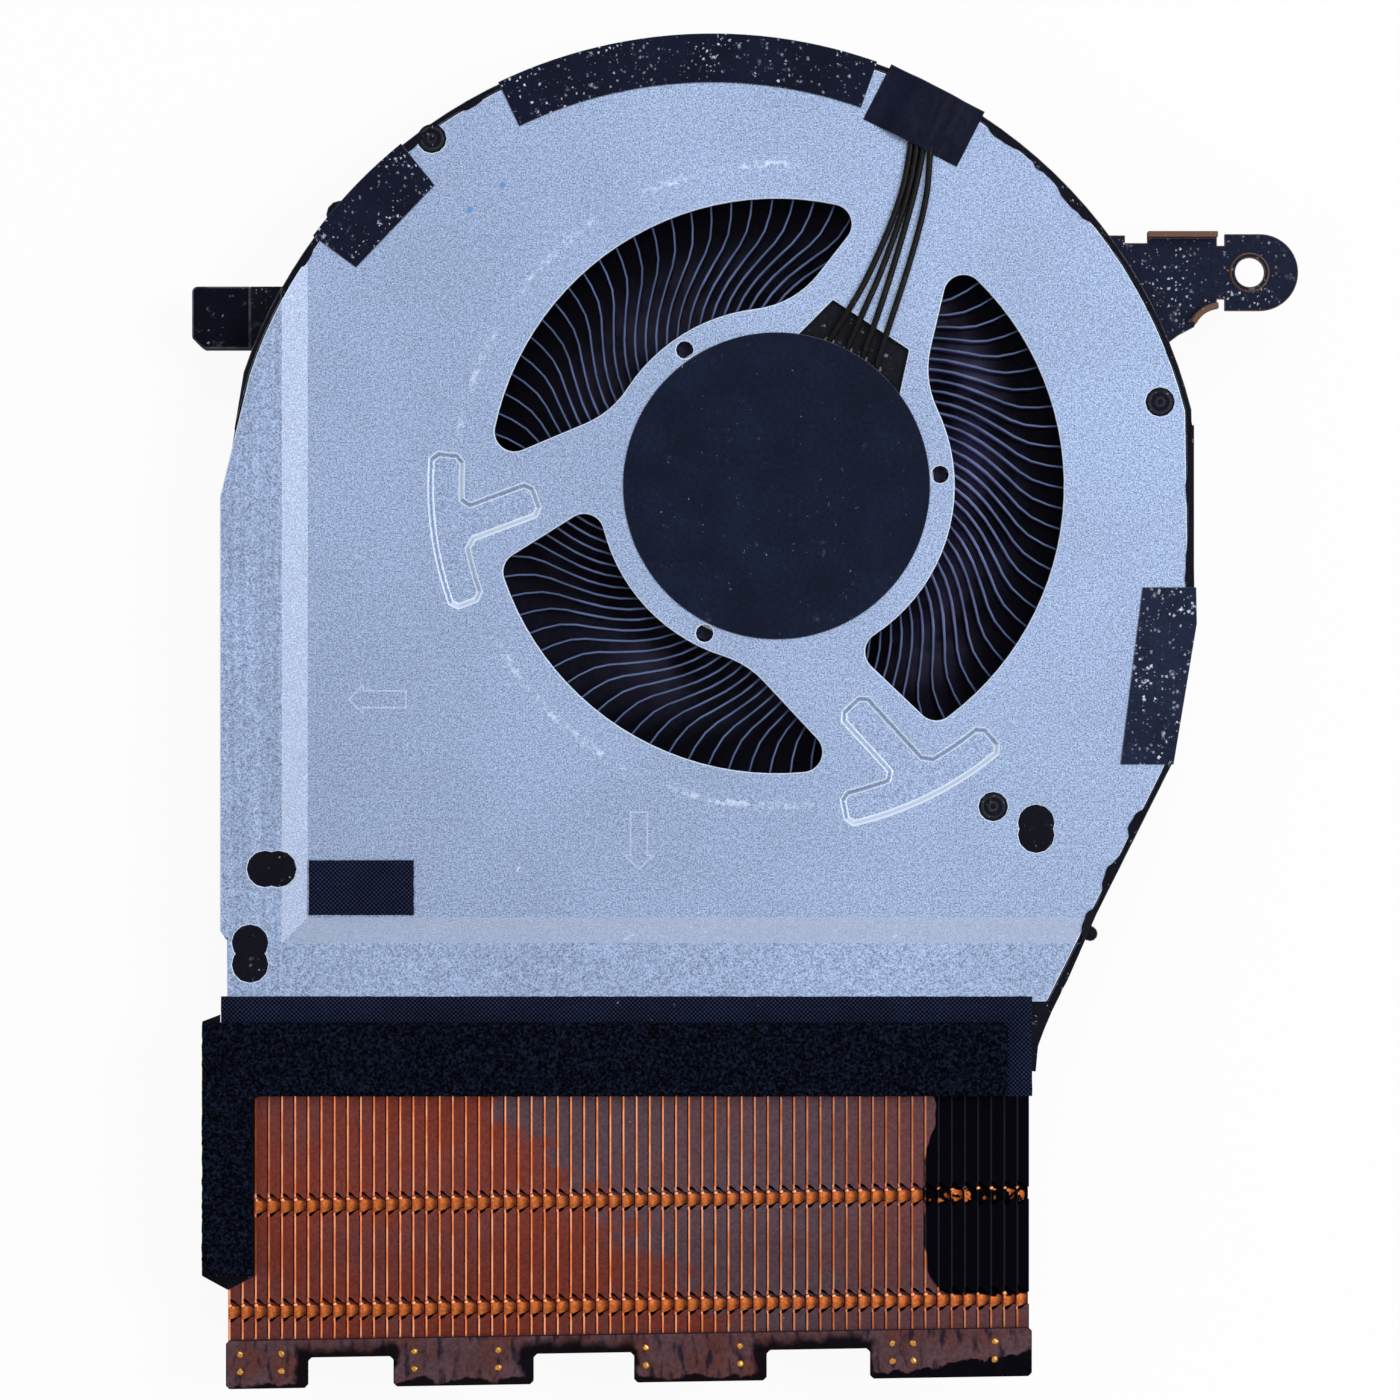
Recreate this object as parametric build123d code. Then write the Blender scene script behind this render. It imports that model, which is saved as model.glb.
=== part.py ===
from build123d import *
import os
from math import acos, atan2, cos, degrees, dist, radians, sin, sqrt, tan

# Laptop blower fan with a copper fin stack, lying flat with its motor plate upwards.
# Everything is drawn about the fan axis in millimetres, then moved so that the origin
# is at the middle of the underside.

# Heights, counted up from the surface that the fan lies on
FOOT_H = 1.8
COVER_T = 0.5
CHAMBER_H = 7.1
PLATE_T = 0.6
STEP_H = 0.6
EMBOSS_D = 0.35
EMBOSS_TAPER = 35.0
COVER_Z = FOOT_H
CHAMBER_Z = COVER_Z + COVER_T
PLATE_Z = CHAMBER_Z + CHAMBER_H
TOP_Z = PLATE_Z + PLATE_T
STEP_Z = PLATE_Z + STEP_H
BORDER_Z = TOP_Z + STEP_H

# Plan of the housing: a round rim, a straight left side and a slanted right flank
RIM_X = -5.5
RIM_Y = -3.7
RIM_R = 42.35
RIM_START = 14.0
RIM_END = 161.5
LEFT_INSET = 0.15
LEFT_X = RIM_X - RIM_R + LEFT_INSET
LEFT_TOP_Y = -1.0
LEFT_NOTCH_Y = -38.2
LEFT_NOTCH = 0.6
OUTLET_Y = -44.2
FLANK_INSET = 0.95
FLANK_X = RIM_X + RIM_R - FLANK_INSET
FLANK_Y = -11.8
SHOULDER_IN = 2.0
SHOULDER_X = FLANK_X - SHOULDER_IN
SHOULDER_Y = -23.9
OUTLET_IN = 10.2
OUTLET_RIGHT_X = SHOULDER_X - OUTLET_IN
LIP_W = 0.55
LEFT_TUCK = 0.3
WALL_T = 1.3
SKIRT_T = 1.1
FIT = 0.05
REACH = 120.0
SMALL_SIDES = 12
MOTOR_SIDES = 36

# Volute cavity round the impeller
VOLUTE_GAP = 1.4
THROAT_A = 12.0
TONGUE_A = -61.0
TONGUE_R = 0.9
SCROLL_MID_A = 97.0
SCROLL_END_A = 152.0
POCKET_A0 = -47.0
POCKET_A1 = -14.0

# Stepped border of the motor plate
LEFT_STEP_IN = 5.3
LEFT_STEP_X = LEFT_X + LEFT_STEP_IN
LOW_STEP_Y = -39.2
SLOPE_W = 2.2

# Intake windows: angles of the inner and outer ends, anticlockwise from +X
WINDOW_R0 = 15.3
WINDOW_R1 = 24.65
WINDOW_ROUND = 1.7
WINDOW_BLEND = 8.0
RIGHT_WINDOW = (-65.0, 35.1, -56.7, 52.4)
UPPER_WINDOW = (85.2, 155.2, 71.9, 175.5)
LOWER_WINDOW = (184.9, 259.8, 195.6, 283.2)

# Tee-shaped stiffening presses: middle and span of the bar, radius and angle of the stem's tip
TEE_R1 = 29.8
TEE_BAR_W = 2.9
TEE_STEM_W = 3.0
TEE_CORNER = 0.6
LEFT_TEE = (187.7, 26.6, 20.6, 182.8)
RIGHT_TEE = (-63.8, 29.0, 19.8, -71.2)

# Small holes round the hub, wire window and motor label
PEEP_COUNT = 3
PEEP_R = 0.75
PEEP_PCD_R = 14.07
PEEP_A = 4.0
LABEL_R = 13.17
LABEL_T = 0.15
WIRE_WINDOW_R = 12.6
WIRE_WINDOW_A0 = 34.5
WIRE_WINDOW_A1 = 83.5
WIRE_WINDOW_OUT = ((11.37, 11.67), (4.85, 15.96))

# Moulded plugs that lock the plate to the frame, and the posts that carry some of them
LEFT_POST_IN = 4.42
LEFT_POST = (LEFT_X + LEFT_POST_IN, -32.84)
CORNER_POST_IN = 2.59
CORNER_POST = (LEFT_X + CORNER_POST_IN, -40.1)
TONGUE_POST_OUT = 5.0
TONGUE_POST_A = -52.86
TIP_PLUG_OUT = 1.3
TIP_PLUG_A = -55.95
RIGHT_PLUG_IN = 3.0
RIGHT_PLUG = (FLANK_X - RIGHT_PLUG_IN, 7.2)
LONG_PLUG_R = 1.5
PLUG_R = 1.2
LEFT_STRETCH = 1.1
CORNER_STRETCH = 1.86
TONGUE_STRETCH = 1.03
POST_R = 2.3
RIM_PLUG_A = 125.7
RIM_PLUG_IN = 1.1
RIM_BOSS_A = 139.8
RIM_BOSS_R = 1.2
HOOK_OUT = 3.2
HOOK_X = OUTLET_RIGHT_X + HOOK_OUT
HOOK_Y = -38.4
HOOK_R = 0.65

# Left tab with its rubber bumper
TAB_Y0 = 11.95
TAB_Y1 = 17.3
TAB_OUT = 2.52
TAB_END_X = RIM_X - RIM_R - TAB_OUT
BUMPER_L = 5.02
TAB_SPLIT_X = TAB_END_X + BUMPER_L
TAB_Z0 = 3.2
TAB_H = 3.8
BUMPER_WALL = 0.8
BUMPER_ROUND = 0.5
BUMPER_CHAMFER = 0.9

# Right mounting arm
ARM_T = 0.5
ARM_Z = 8.0
ARM_HOLE_OUT = 4.8
ARM_HOLE_X = FLANK_X + ARM_HOLE_OUT
ARM_HOLE_Y = 18.4
ARM_HOLE_R = 1.26
ARM_COLLAR_R = 1.65
ARM_COLLAR_H = 0.3
ARM_EAR_R = 3.31
ARM_EAR_OUT = 4.19
ARM_END_X = ARM_HOLE_X + ARM_EAR_OUT
ARM_TOP_Y = 20.94
ARM_NOTCH_BACK = 2.8
ARM_NOTCH_X = ARM_HOLE_X - ARM_NOTCH_BACK
ARM_NOTCH_W = 0.64
ARM_ROOT_DEPTH = 1.0
ARM_FLANGE_BACK = 8.8
ARM_FLANGE_X = ARM_HOLE_X - ARM_FLANGE_BACK
ARM_FLANGE_H = 1.7
ARM_FLANGE_OUT = 0.95
ARM_NOTCH_D = 1.0
ARM_SCOOP_BACK = 2.4
ARM_SCOOP_X = ARM_HOLE_X - ARM_SCOOP_BACK
ARM_SCOOP_Y = 12.75
ARM_SCOOP_R = 3.05
ARM_SCOOP_A0 = 97.0
ARM_SCOOP_A1 = 152.0
ARM_LOW_BACK = 6.1
ARM_LOW_X = ARM_HOLE_X - ARM_LOW_BACK
ARM_LOW_Y = 13.0
ARM_ROOT_TOP_BACK = 14.7
ARM_ROOT_TOP = (ARM_HOLE_X - ARM_ROOT_TOP_BACK, 21.6)
ARM_ROOT_STEP = 4.0
ARM_ROOT_LOW_BACK = 7.7
ARM_ROOT_LOW = (ARM_HOLE_X - ARM_ROOT_LOW_BACK, 11.8)

# Motor
HUB_R = 14.6
HUB_WALL = 1.0
HUB_FLOOR = 0.8
YOKE_T = 0.6
MAGNET_T = 1.6
AIR_GAP = 0.3
RUN_GAP = 0.6
SHAFT_R = 0.75
SHAFT_CLEAR = 0.03
BUSH_R = 2.2
HOLDER_R = 3.2
THRUST_GAP = 0.05
BOARD_T = 0.5
BOARD_EDGE = 0.6
POLE_COUNT = 6
POLE_W = 1.6
CORE_H = 2.0
CORE_RING = 1.2
SHOE_T = 1.2
SHOE_W = 8.6
COIL_T = 0.8
COIL_CLEAR = 0.06

# Impeller
SCROLL_ROOM = 11.85
IMPELLER_R = RIM_R - SCROLL_ROOM
BLADE_COUNT = 87
BLADE_T = 0.3
BLADE_ROOT_A = 23.7
BLADE_KNEE_R = 16.9
BLADE_KNEE_A = 16.2
BLADE_BEND_R = 21.6
BLADE_BEND_A = 2.2
BLADE_TIP_A = -2.0
WEB_EDGE = 0.1
WEB_T = 0.5

# Lead of four wires and its plug
WIRE_COUNT = 4
WIRE_D = 0.54
WIRE_PITCH = 0.58
WIRE_A = 64.2
WIRE_GROOVE_W = 3.0
WIRE_GROOVE_D = 0.9
WIRE_NOTCH_D = 2.0
WIRE_FOLD_IN = 0.42
WIRE_LIFT = 0.1
BEND_SHARE = 0.45
WIRE_STOW_IN = 6.35
WIRE_END_R = RIM_R - WIRE_STOW_IN
WIRE_SIDES = 4
WIRE_PADS = ((4.5, 12.44), (6.05, 11.67), (7.34, 10.9), (8.54, 10.04))
WIRE_EDGES = ((6.1, 14.85), (7.25, 14.5), (8.37, 13.73), (9.4, 13.04))
WIRE_FANS = ((8.11, 18.4), (9.01, 18.4), (9.91, 18.4), (11.23, 18.4))
WIRE_MIDS = ((10.68, 24.54), (11.2, 24.54), (11.71, 24.54), (12.91, 24.54))
WIRE_TAPES = ((11.5, 28.83), (12.05, 28.83), (12.6, 28.74), (13.15, 28.4))
PLUG_L = 3.6
PLUG_W = 3.4
PLUG_H = 1.3
PLUG_SLOT_L = 1.4
PLUG_SLOT_D = 0.35

# Black rim tapes
TAPE_T = 0.15
TAPE_DROP = 3.0
TAPE_GAP_A = 13.3
STEP_CLEAR_A = 1.3
WIRE_CLEAR_A = 1.6
TOP_TAPE_W = 4.05
TOP_TAPE_R = RIM_R - TOP_TAPE_W
LEFT_TAPE_W = 4.45
LEFT_TAPE_R = RIM_R - LEFT_TAPE_W
LEFT_TAPE_SPAN = 14.8
WIRE_TAPE_W = 5.15
WIRE_TAPE_R = RIM_R - WIRE_TAPE_W
WIRE_TAPE_A = 62.9
WIRE_TAPE_L = 9.0
WIRE_TAPE_FLAT = 2.4
WIRE_TAPE_RAMP = 0.8
RIGHT_TAPE_W = 4.5
RIGHT_TAPE_X = FLANK_X - RIGHT_TAPE_W
RIGHT_TAPE_LEAN = 1.9
RIGHT_TAPE_Y0 = -23.9
RIGHT_TAPE_Y1 = -8.7

# Cloth patch on the plate
PATCH_IN = 7.6
PATCH_X0 = LEFT_X + PATCH_IN
PATCH_L = 9.0
PATCH_X1 = PATCH_X0 + PATCH_L
PATCH_Y0 = -36.8
PATCH_Y1 = -32.1
PATCH_T = 0.3

# Folded copper fins, each a little further along Y than the one on its left
FIN_COUNT = 61
FIN_PITCH = 1.125
FIN_T = 0.18
FIN_INSET = 0.7
FIN_LEFT_X = LEFT_X + FIN_INSET
FIN_START_Y = -45.6
FIN_LEN = 28.4
FIN_STEP = 0.0188
FIN_SEAM = 0.07
ZIP_AT = (16.26, 25.14)
ZIP_GAP = 1.0
ZIP_SPLAY = 0.4

# Castellated copper plate on the fin ends, with its solder beads
FIN_PLATE_T = 0.5
FIN_PLATE_OVER = 0.15
FIN_PLATE_X0 = FIN_LEFT_X - FIN_PLATE_OVER
FIN_PLATE_L = 69.0
FIN_PLATE_Y = -73.19
FIN_PLATE_W = 4.18
FIN_PLATE_SLOPE = 0.0164
FIN_PLATE_CORNER = 0.3
NOTCHES = ((7.05, 14.35), (26.35, 34.95), (46.3, 55.15))
NOTCH_D = 2.6
BEAD_R = 0.36
BEAD_H = 0.2
BEAD_SIDES = 6
BEAD_TAPER = 40.0
BEAD_IN = 1.2
BEAD_OUT = 2.7
BEAD_ALONG = (1.25, 4.75, 16.15, 23.35, 35.95, 44.05, 57.05, 58.85, 65.85)

# Woven outlet tape, foam gasket and the film under its left leg
OUTLET_TAPE_OVER = 0.6
OUTLET_TAPE_X0 = FIN_LEFT_X - OUTLET_TAPE_OVER
OUTLET_TAPE_L = 69.5
OUTLET_TAPE_X1 = OUTLET_TAPE_X0 + OUTLET_TAPE_L
OUTLET_TAPE_Y0 = -52.3
OUTLET_TAPE_Y1 = -43.76
FOAM_T = 1.4
FOAM_OVER = 2.2
FOAM_X0 = FIN_LEFT_X - FOAM_OVER
FOAM_L = 69.06
FOAM_X1 = FOAM_X0 + FOAM_L
FOAM_Y1 = -45.9
FOAM_LEG_W = 4.45
FOAM_LEG_X1 = FOAM_X0 + FOAM_LEG_W
FOAM_LEG_Y0 = -67.7
FILM_TIP = 1.2

# Sizes that follow from the ones above
THROAT_R = IMPELLER_R + VOLUTE_GAP
LEFT_TAPE_A1 = degrees(acos((LEFT_STEP_X + SLOPE_W - RIM_X) / RIM_R)) - STEP_CLEAR_A
LEFT_TAPE_A0 = LEFT_TAPE_A1 - LEFT_TAPE_SPAN
TOP_TAPE_A1 = LEFT_TAPE_A0 - TAPE_GAP_A
TOP_TAPE_A0 = WIRE_TAPE_A + degrees(atan2(WIRE_TAPE_L / 2, RIM_R)) + WIRE_CLEAR_A
IMPELLER_Z0 = CHAMBER_Z + RUN_GAP
IMPELLER_Z1 = PLATE_Z - EMBOSS_D - RUN_GAP
YOKE_R = HUB_R - HUB_WALL
MAGNET_R = YOKE_R - YOKE_T
STATOR_R = MAGNET_R - MAGNET_T - AIR_GAP
YOKE_Z = IMPELLER_Z0 + HUB_FLOOR
CUP_Z = YOKE_Z + YOKE_T
CORE_Z = (CUP_Z + PLATE_Z - BOARD_T - CORE_H) / 2
SHAFT_TOP_Z = PLATE_Z - BOARD_T
HOLDER_Z0 = CUP_Z + RUN_GAP
FIN_TOP_Z = BORDER_Z
FOAM_Z = FIN_TOP_Z + TAPE_T
LEAD_Z = WIRE_D / 2 + FIT
WIRE_TOP_Z = TOP_Z + WIRE_D / 2 + FIT
WIRE_FOLD_R = 3 * WIRE_D


def polar(radius, angle):
    """Point about the fan axis."""
    return (radius * cos(radians(angle)), radius * sin(radians(angle)))


def rim_point(radius, angle, along=0.0):
    """Point about the rim's own centre, moved along the rim's tangent."""
    x = RIM_X + radius * cos(radians(angle)) - along * sin(radians(angle))
    y = RIM_Y + radius * sin(radians(angle)) + along * cos(radians(angle))
    return (x, y)


def slab(sketch, z0, z1):
    """Straight solid on a plan between two heights."""
    return extrude(Pos(0, 0, z0) * sketch, amount=z1 - z0, dir=(0, 0, 1))


def small_round(radius, at):
    """Plan of a small round peg or hole, drawn with few sides."""
    return Pos(*at) * RegularPolygon(radius, SMALL_SIDES)


def disc(radius, z0, z1, at=(0, 0)):
    """Upright cylinder between two heights."""
    return slab(Pos(*at) * Circle(radius), z0, z1)


def motor_round(radius):
    """Plan of an unseen ring of the motor, drawn with few sides."""
    return RegularPolygon(radius, MOTOR_SIDES)


def box(x0, x1, y0, y1, z0, z1):
    """Block between two corners."""
    return slab(Polygon((x0, y0), (x1, y0), (x1, y1), (x0, y1), align=None), z0, z1)


def sector(angle0, angle1, radius=REACH, centre=(0, 0)):
    """Pie-shaped plan that is cut by straight lines far outside the housing."""
    middle = (angle0 + angle1) / 2
    reach = radius / cos(radians((angle1 - angle0) / 2))
    corners = [(0, 0)]
    for angle in (angle0, angle1):
        corners.append((reach * cos(radians(angle)), reach * sin(radians(angle))))
    corners.insert(2, (2 * reach * cos(radians(middle)), 2 * reach * sin(radians(middle))))
    return Pos(*centre) * Polygon(*corners, align=None)


def housing_plan(rim_in, left_in, outlet_out=0.0):
    """Plan of the housing, drawn in from its rim and left side, or past its outlet."""
    radius = RIM_R - rim_in
    start = rim_point(radius, RIM_START)
    end = rim_point(radius, RIM_END)
    arc = CenterArc((RIM_X, RIM_Y), radius, RIM_START, RIM_END - RIM_START)
    left = LEFT_X + left_in
    right = OUTLET_RIGHT_X - rim_in
    low = OUTLET_Y - outlet_out
    corners = [
        end,
        (left, LEFT_TOP_Y),
        (left, LEFT_NOTCH_Y),
        (left + LEFT_NOTCH, LEFT_NOTCH_Y - LEFT_NOTCH),
        (left + LEFT_NOTCH, low),
        (right, low),
    ]
    if outlet_out:
        corners.append((right, OUTLET_Y))
    corners += [(SHOULDER_X - rim_in, SHOULDER_Y), (FLANK_X - rim_in, FLANK_Y), start]
    sides = Polyline(*corners)
    return make_face(arc + sides)


def cavity_plan():
    """Plan of the scroll round the impeller, open towards the fins."""
    inner = RIM_R - WALL_T
    throat = polar(THROAT_R, THROAT_A)
    tongue = polar(THROAT_R, TONGUE_A)
    scroll_end = rim_point(inner, SCROLL_END_A)
    left = LEFT_X + LEFT_TUCK + WALL_T
    low = OUTLET_Y - WALL_T
    scroll = ThreePointArc(throat, rim_point(inner, SCROLL_MID_A), scroll_end)
    duct = Polyline(
        scroll_end,
        (left, LEFT_TOP_Y),
        (left, LEFT_NOTCH_Y),
        (left + LEFT_NOTCH, LEFT_NOTCH_Y - LEFT_NOTCH),
        (left + LEFT_NOTCH, low),
        (OUTLET_RIGHT_X - WALL_T, low),
        (OUTLET_RIGHT_X - WALL_T, OUTLET_Y + WALL_T),
        tongue,
    )
    gap = CenterArc((0, 0), THROAT_R, TONGUE_A, THROAT_A - TONGUE_A)
    plan = make_face(scroll + duct + gap)
    return fillet(plan.vertices().sort_by_distance((*tongue, 0))[0], TONGUE_R)


def border_plan():
    """Everything outside the lowered middle of the plate."""
    left = Pos(LEFT_STEP_X - REACH / 2, 0) * Rectangle(REACH, 2 * REACH)
    low = Pos(0, LOW_STEP_Y - REACH / 2) * Rectangle(2 * REACH, REACH)
    return left + low


def long_hole(spot, radius, stretch_x, stretch_y):
    """Plan of two overlapping round holes."""
    x, y = spot
    first = small_round(radius, (x - stretch_x / 2, y - stretch_y / 2))
    return first + small_round(radius, (x + stretch_x / 2, y + stretch_y / 2))


def plug_plan(grow):
    """Plan of the moulded plugs, or of their holes when grown by a clearance."""
    plan = long_hole(LEFT_POST, LONG_PLUG_R + grow, LEFT_STRETCH, 0)
    plan += long_hole(CORNER_POST, LONG_PLUG_R + grow, 0, CORNER_STRETCH)
    tongue_post = polar(THROAT_R + TONGUE_POST_OUT, TONGUE_POST_A)
    plan += long_hole(tongue_post, LONG_PLUG_R + grow, 0, TONGUE_STRETCH)
    tip_plug = polar(THROAT_R + TIP_PLUG_OUT, TIP_PLUG_A)
    for spot in (tip_plug, RIGHT_PLUG, rim_point(RIM_R - RIM_PLUG_IN, RIM_PLUG_A)):
        plan += small_round(PLUG_R + grow, spot)
    return plan


def rim_block(depth, width, z0, z1):
    """Block let into the rim where the lead crosses it."""
    spot = rim_point(RIM_R - depth / 2 + LIP_W, WIRE_A)
    return slab(Pos(*spot) * Rot(0, 0, WIRE_A) * Rectangle(depth + 2 * LIP_W, width), z0, z1)


def tab_core(z0, z1, shrink):
    """Inner tongue of the left tab, which the bumper slides over."""
    return box(TAB_END_X + shrink, TAB_SPLIT_X, TAB_Y0 + shrink, TAB_Y1 - shrink, z0 + shrink, z1 - shrink)


def side_frame():
    """Moulded scroll wall with its skirt, lip, posts, plugs and left tab."""
    plan = housing_plan(0, LEFT_TUCK)
    cavity = cavity_plan()
    posts = small_round(POST_R, LEFT_POST) + small_round(POST_R, CORNER_POST)
    rib_x = (LEFT_X + LEFT_TUCK + LEFT_POST[0]) / 2
    posts += Pos(rib_x, LEFT_POST[1]) * Rectangle(LEFT_POST[0] - LEFT_X - LEFT_TUCK, POST_R)
    ring = plan - cavity + (posts & plan)
    border = border_plan()
    skirt = plan - housing_plan(SKIRT_T, LEFT_TUCK + SKIRT_T, SKIRT_T)
    lip = plan - housing_plan(LIP_W - FIT, -LEFT_TUCK, LIP_W)
    pocket = housing_plan(WALL_T, WALL_T) & sector(POCKET_A0, POCKET_A1)
    pocket -= Circle(THROAT_R + WALL_T)
    body = slab(ring, CHAMBER_Z, PLATE_Z)
    body += slab(ring & border, PLATE_Z, STEP_Z)
    body += slab(skirt, 0, CHAMBER_Z)
    body += slab(lip, PLATE_Z, TOP_Z)
    body += slab(lip & border, TOP_Z, BORDER_Z)
    boss = small_round(RIM_BOSS_R, rim_point(RIM_R - LIP_W, RIM_BOSS_A))
    body += slab(boss - housing_plan(LIP_W - FIT, -LEFT_TUCK), 0, TOP_Z)
    body += slab(small_round(HOOK_R, (HOOK_X, HOOK_Y)), CHAMBER_Z, STEP_Z)
    body -= slab(pocket, CHAMBER_Z, PLATE_Z - WALL_T)
    plugs = plug_plan(0)
    body += slab(plugs - border, PLATE_Z, TOP_Z)
    body += slab(plugs & border, PLATE_Z, BORDER_Z)
    tab_z1 = TAB_Z0 + TAB_H
    tab_root = RIM_X - sqrt((RIM_R - WALL_T) ** 2 - (TAB_Y1 - RIM_Y) ** 2)
    body += box(TAB_SPLIT_X, tab_root, TAB_Y0, TAB_Y1, TAB_Z0, tab_z1) - slab(cavity, 0, PLATE_Z)
    body += tab_core(TAB_Z0, tab_z1, BUMPER_WALL)
    body -= rim_block(WIRE_GROOVE_D, WIRE_GROOVE_W, 0, TOP_Z)
    body -= rim_block(WIRE_NOTCH_D, WIRE_GROOVE_W, PLATE_Z - WIRE_FOLD_R / 2, TOP_Z)
    body -= rim_block(WIRE_NOTCH_D, WIRE_GROOVE_W, 0, COVER_Z)
    return body - mounting_arm()


def floor_cover():
    """Flat sheet, pressed into the skirt to close the underside of the scroll."""
    edge = SKIRT_T + FIT
    return slab(housing_plan(edge, LEFT_TUCK + edge), COVER_Z, CHAMBER_Z)


def window_plan(inner0, inner1, outer0, outer1):
    """Plan of one crescent intake, with a wide blend where an end leans outwards."""
    inner = CenterArc((0, 0), WINDOW_R0, inner0, inner1 - inner0)
    outer = CenterArc((0, 0), WINDOW_R1, outer0, outer1 - outer0)
    ends = Line(polar(WINDOW_R0, inner1), polar(WINDOW_R1, outer1))
    ends += Line(polar(WINDOW_R1, outer0), polar(WINDOW_R0, inner0))
    plan = make_face(inner + ends + outer)
    corners = [
        (WINDOW_R0, inner0, WINDOW_BLEND if outer0 < inner0 else WINDOW_ROUND),
        (WINDOW_R0, inner1, WINDOW_BLEND if outer1 > inner1 else WINDOW_ROUND),
        (WINDOW_R1, outer0, WINDOW_ROUND),
        (WINDOW_R1, outer1, WINDOW_ROUND),
    ]
    for radius, angle, rounding in corners:
        corner = plan.vertices().sort_by_distance((*polar(radius, angle), 0))[0]
        plan = fillet(corner, rounding)
    return plan


def wire_window_plan():
    """Plan of the slanted opening that shows the motor board."""
    return Polygon(
        polar(WIRE_WINDOW_R, WIRE_WINDOW_A0),
        *WIRE_WINDOW_OUT,
        polar(WIRE_WINDOW_R, WIRE_WINDOW_A1),
        align=None,
    )


def tee_plan(middle, span, tip_r, tip_a):
    """Plan of one tee press: a bar along the rim and a slanted stem towards the hub."""
    bar = Circle(TEE_R1) - Circle(TEE_R1 - TEE_BAR_W)
    bar &= sector(middle - span / 2, middle + span / 2)
    root_x, root_y = polar(TEE_R1 - TEE_BAR_W / 2, middle)
    tip_x, tip_y = polar(tip_r, tip_a)
    lean = degrees(atan2(tip_y - root_y, tip_x - root_x))
    length = dist((root_x, root_y), (tip_x, tip_y))
    stem = Pos(root_x, root_y) * Rot(0, 0, lean) * Pos(length / 2, 0)
    plan = bar + stem * Rectangle(length, TEE_STEM_W)
    return chamfer(plan.vertices(), TEE_CORNER)


def step_pocket(z):
    """Space above the plate's lowered middle, with one slope on the left and one below."""
    left = Polygon(
        (LEFT_STEP_X + SLOPE_W, z),
        (REACH, z),
        (REACH, z + STEP_H),
        (LEFT_STEP_X, z + STEP_H),
        align=None,
    )
    low = Polygon(
        (LOW_STEP_Y + SLOPE_W, z),
        (REACH, z),
        (REACH, z + STEP_H),
        (LOW_STEP_Y, z + STEP_H),
        align=None,
    )
    along_y = extrude(Plane.XZ * left, amount=REACH, both=True)
    along_x = extrude(Plane.YZ * low, amount=REACH, both=True)
    return along_y & along_x


def motor_plate():
    """Pressed top plate with its stepped border, intakes, tees and plug holes."""
    plan = housing_plan(LIP_W, 0)
    holes = window_plan(*RIGHT_WINDOW) + window_plan(*UPPER_WINDOW) + window_plan(*LOWER_WINDOW)
    holes += wire_window_plan() + plug_plan(FIT)
    for index in range(PEEP_COUNT):
        holes += small_round(PEEP_R, polar(PEEP_PCD_R, PEEP_A + 360 / PEEP_COUNT * index))
    plate = slab(plan, PLATE_Z, BORDER_Z) - step_pocket(TOP_Z)
    plate -= slab(plan, PLATE_Z, STEP_Z) - step_pocket(PLATE_Z)
    for shape in (LEFT_TEE, RIGHT_TEE):
        tee = tee_plan(*shape)
        plate += slab(tee, PLATE_Z - EMBOSS_D, PLATE_Z)
        plate -= extrude(Pos(0, 0, TOP_Z) * tee, amount=EMBOSS_D, dir=(0, 0, -1), taper=EMBOSS_TAPER)
    plate -= slab(holes, PLATE_Z - EMBOSS_D, BORDER_Z)
    return plate - rim_block(WIRE_NOTCH_D, WIRE_GROOVE_W, PLATE_Z, TOP_Z)


def rubber_bumper():
    """Rubber cap that slides over the left tab."""
    plan = Polygon(
        (TAB_END_X, TAB_Y0 + BUMPER_CHAMFER),
        (TAB_END_X + BUMPER_CHAMFER, TAB_Y0),
        (TAB_SPLIT_X, TAB_Y0),
        (TAB_SPLIT_X, TAB_Y1),
        (TAB_END_X, TAB_Y1),
        align=None,
    )
    corner = plan.vertices().sort_by_distance((TAB_END_X, TAB_Y1, 0))[0]
    cap = slab(fillet(corner, BUMPER_ROUND), TAB_Z0, TAB_Z0 + TAB_H)
    return cap - tab_core(TAB_Z0, TAB_Z0 + TAB_H, BUMPER_WALL)


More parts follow.
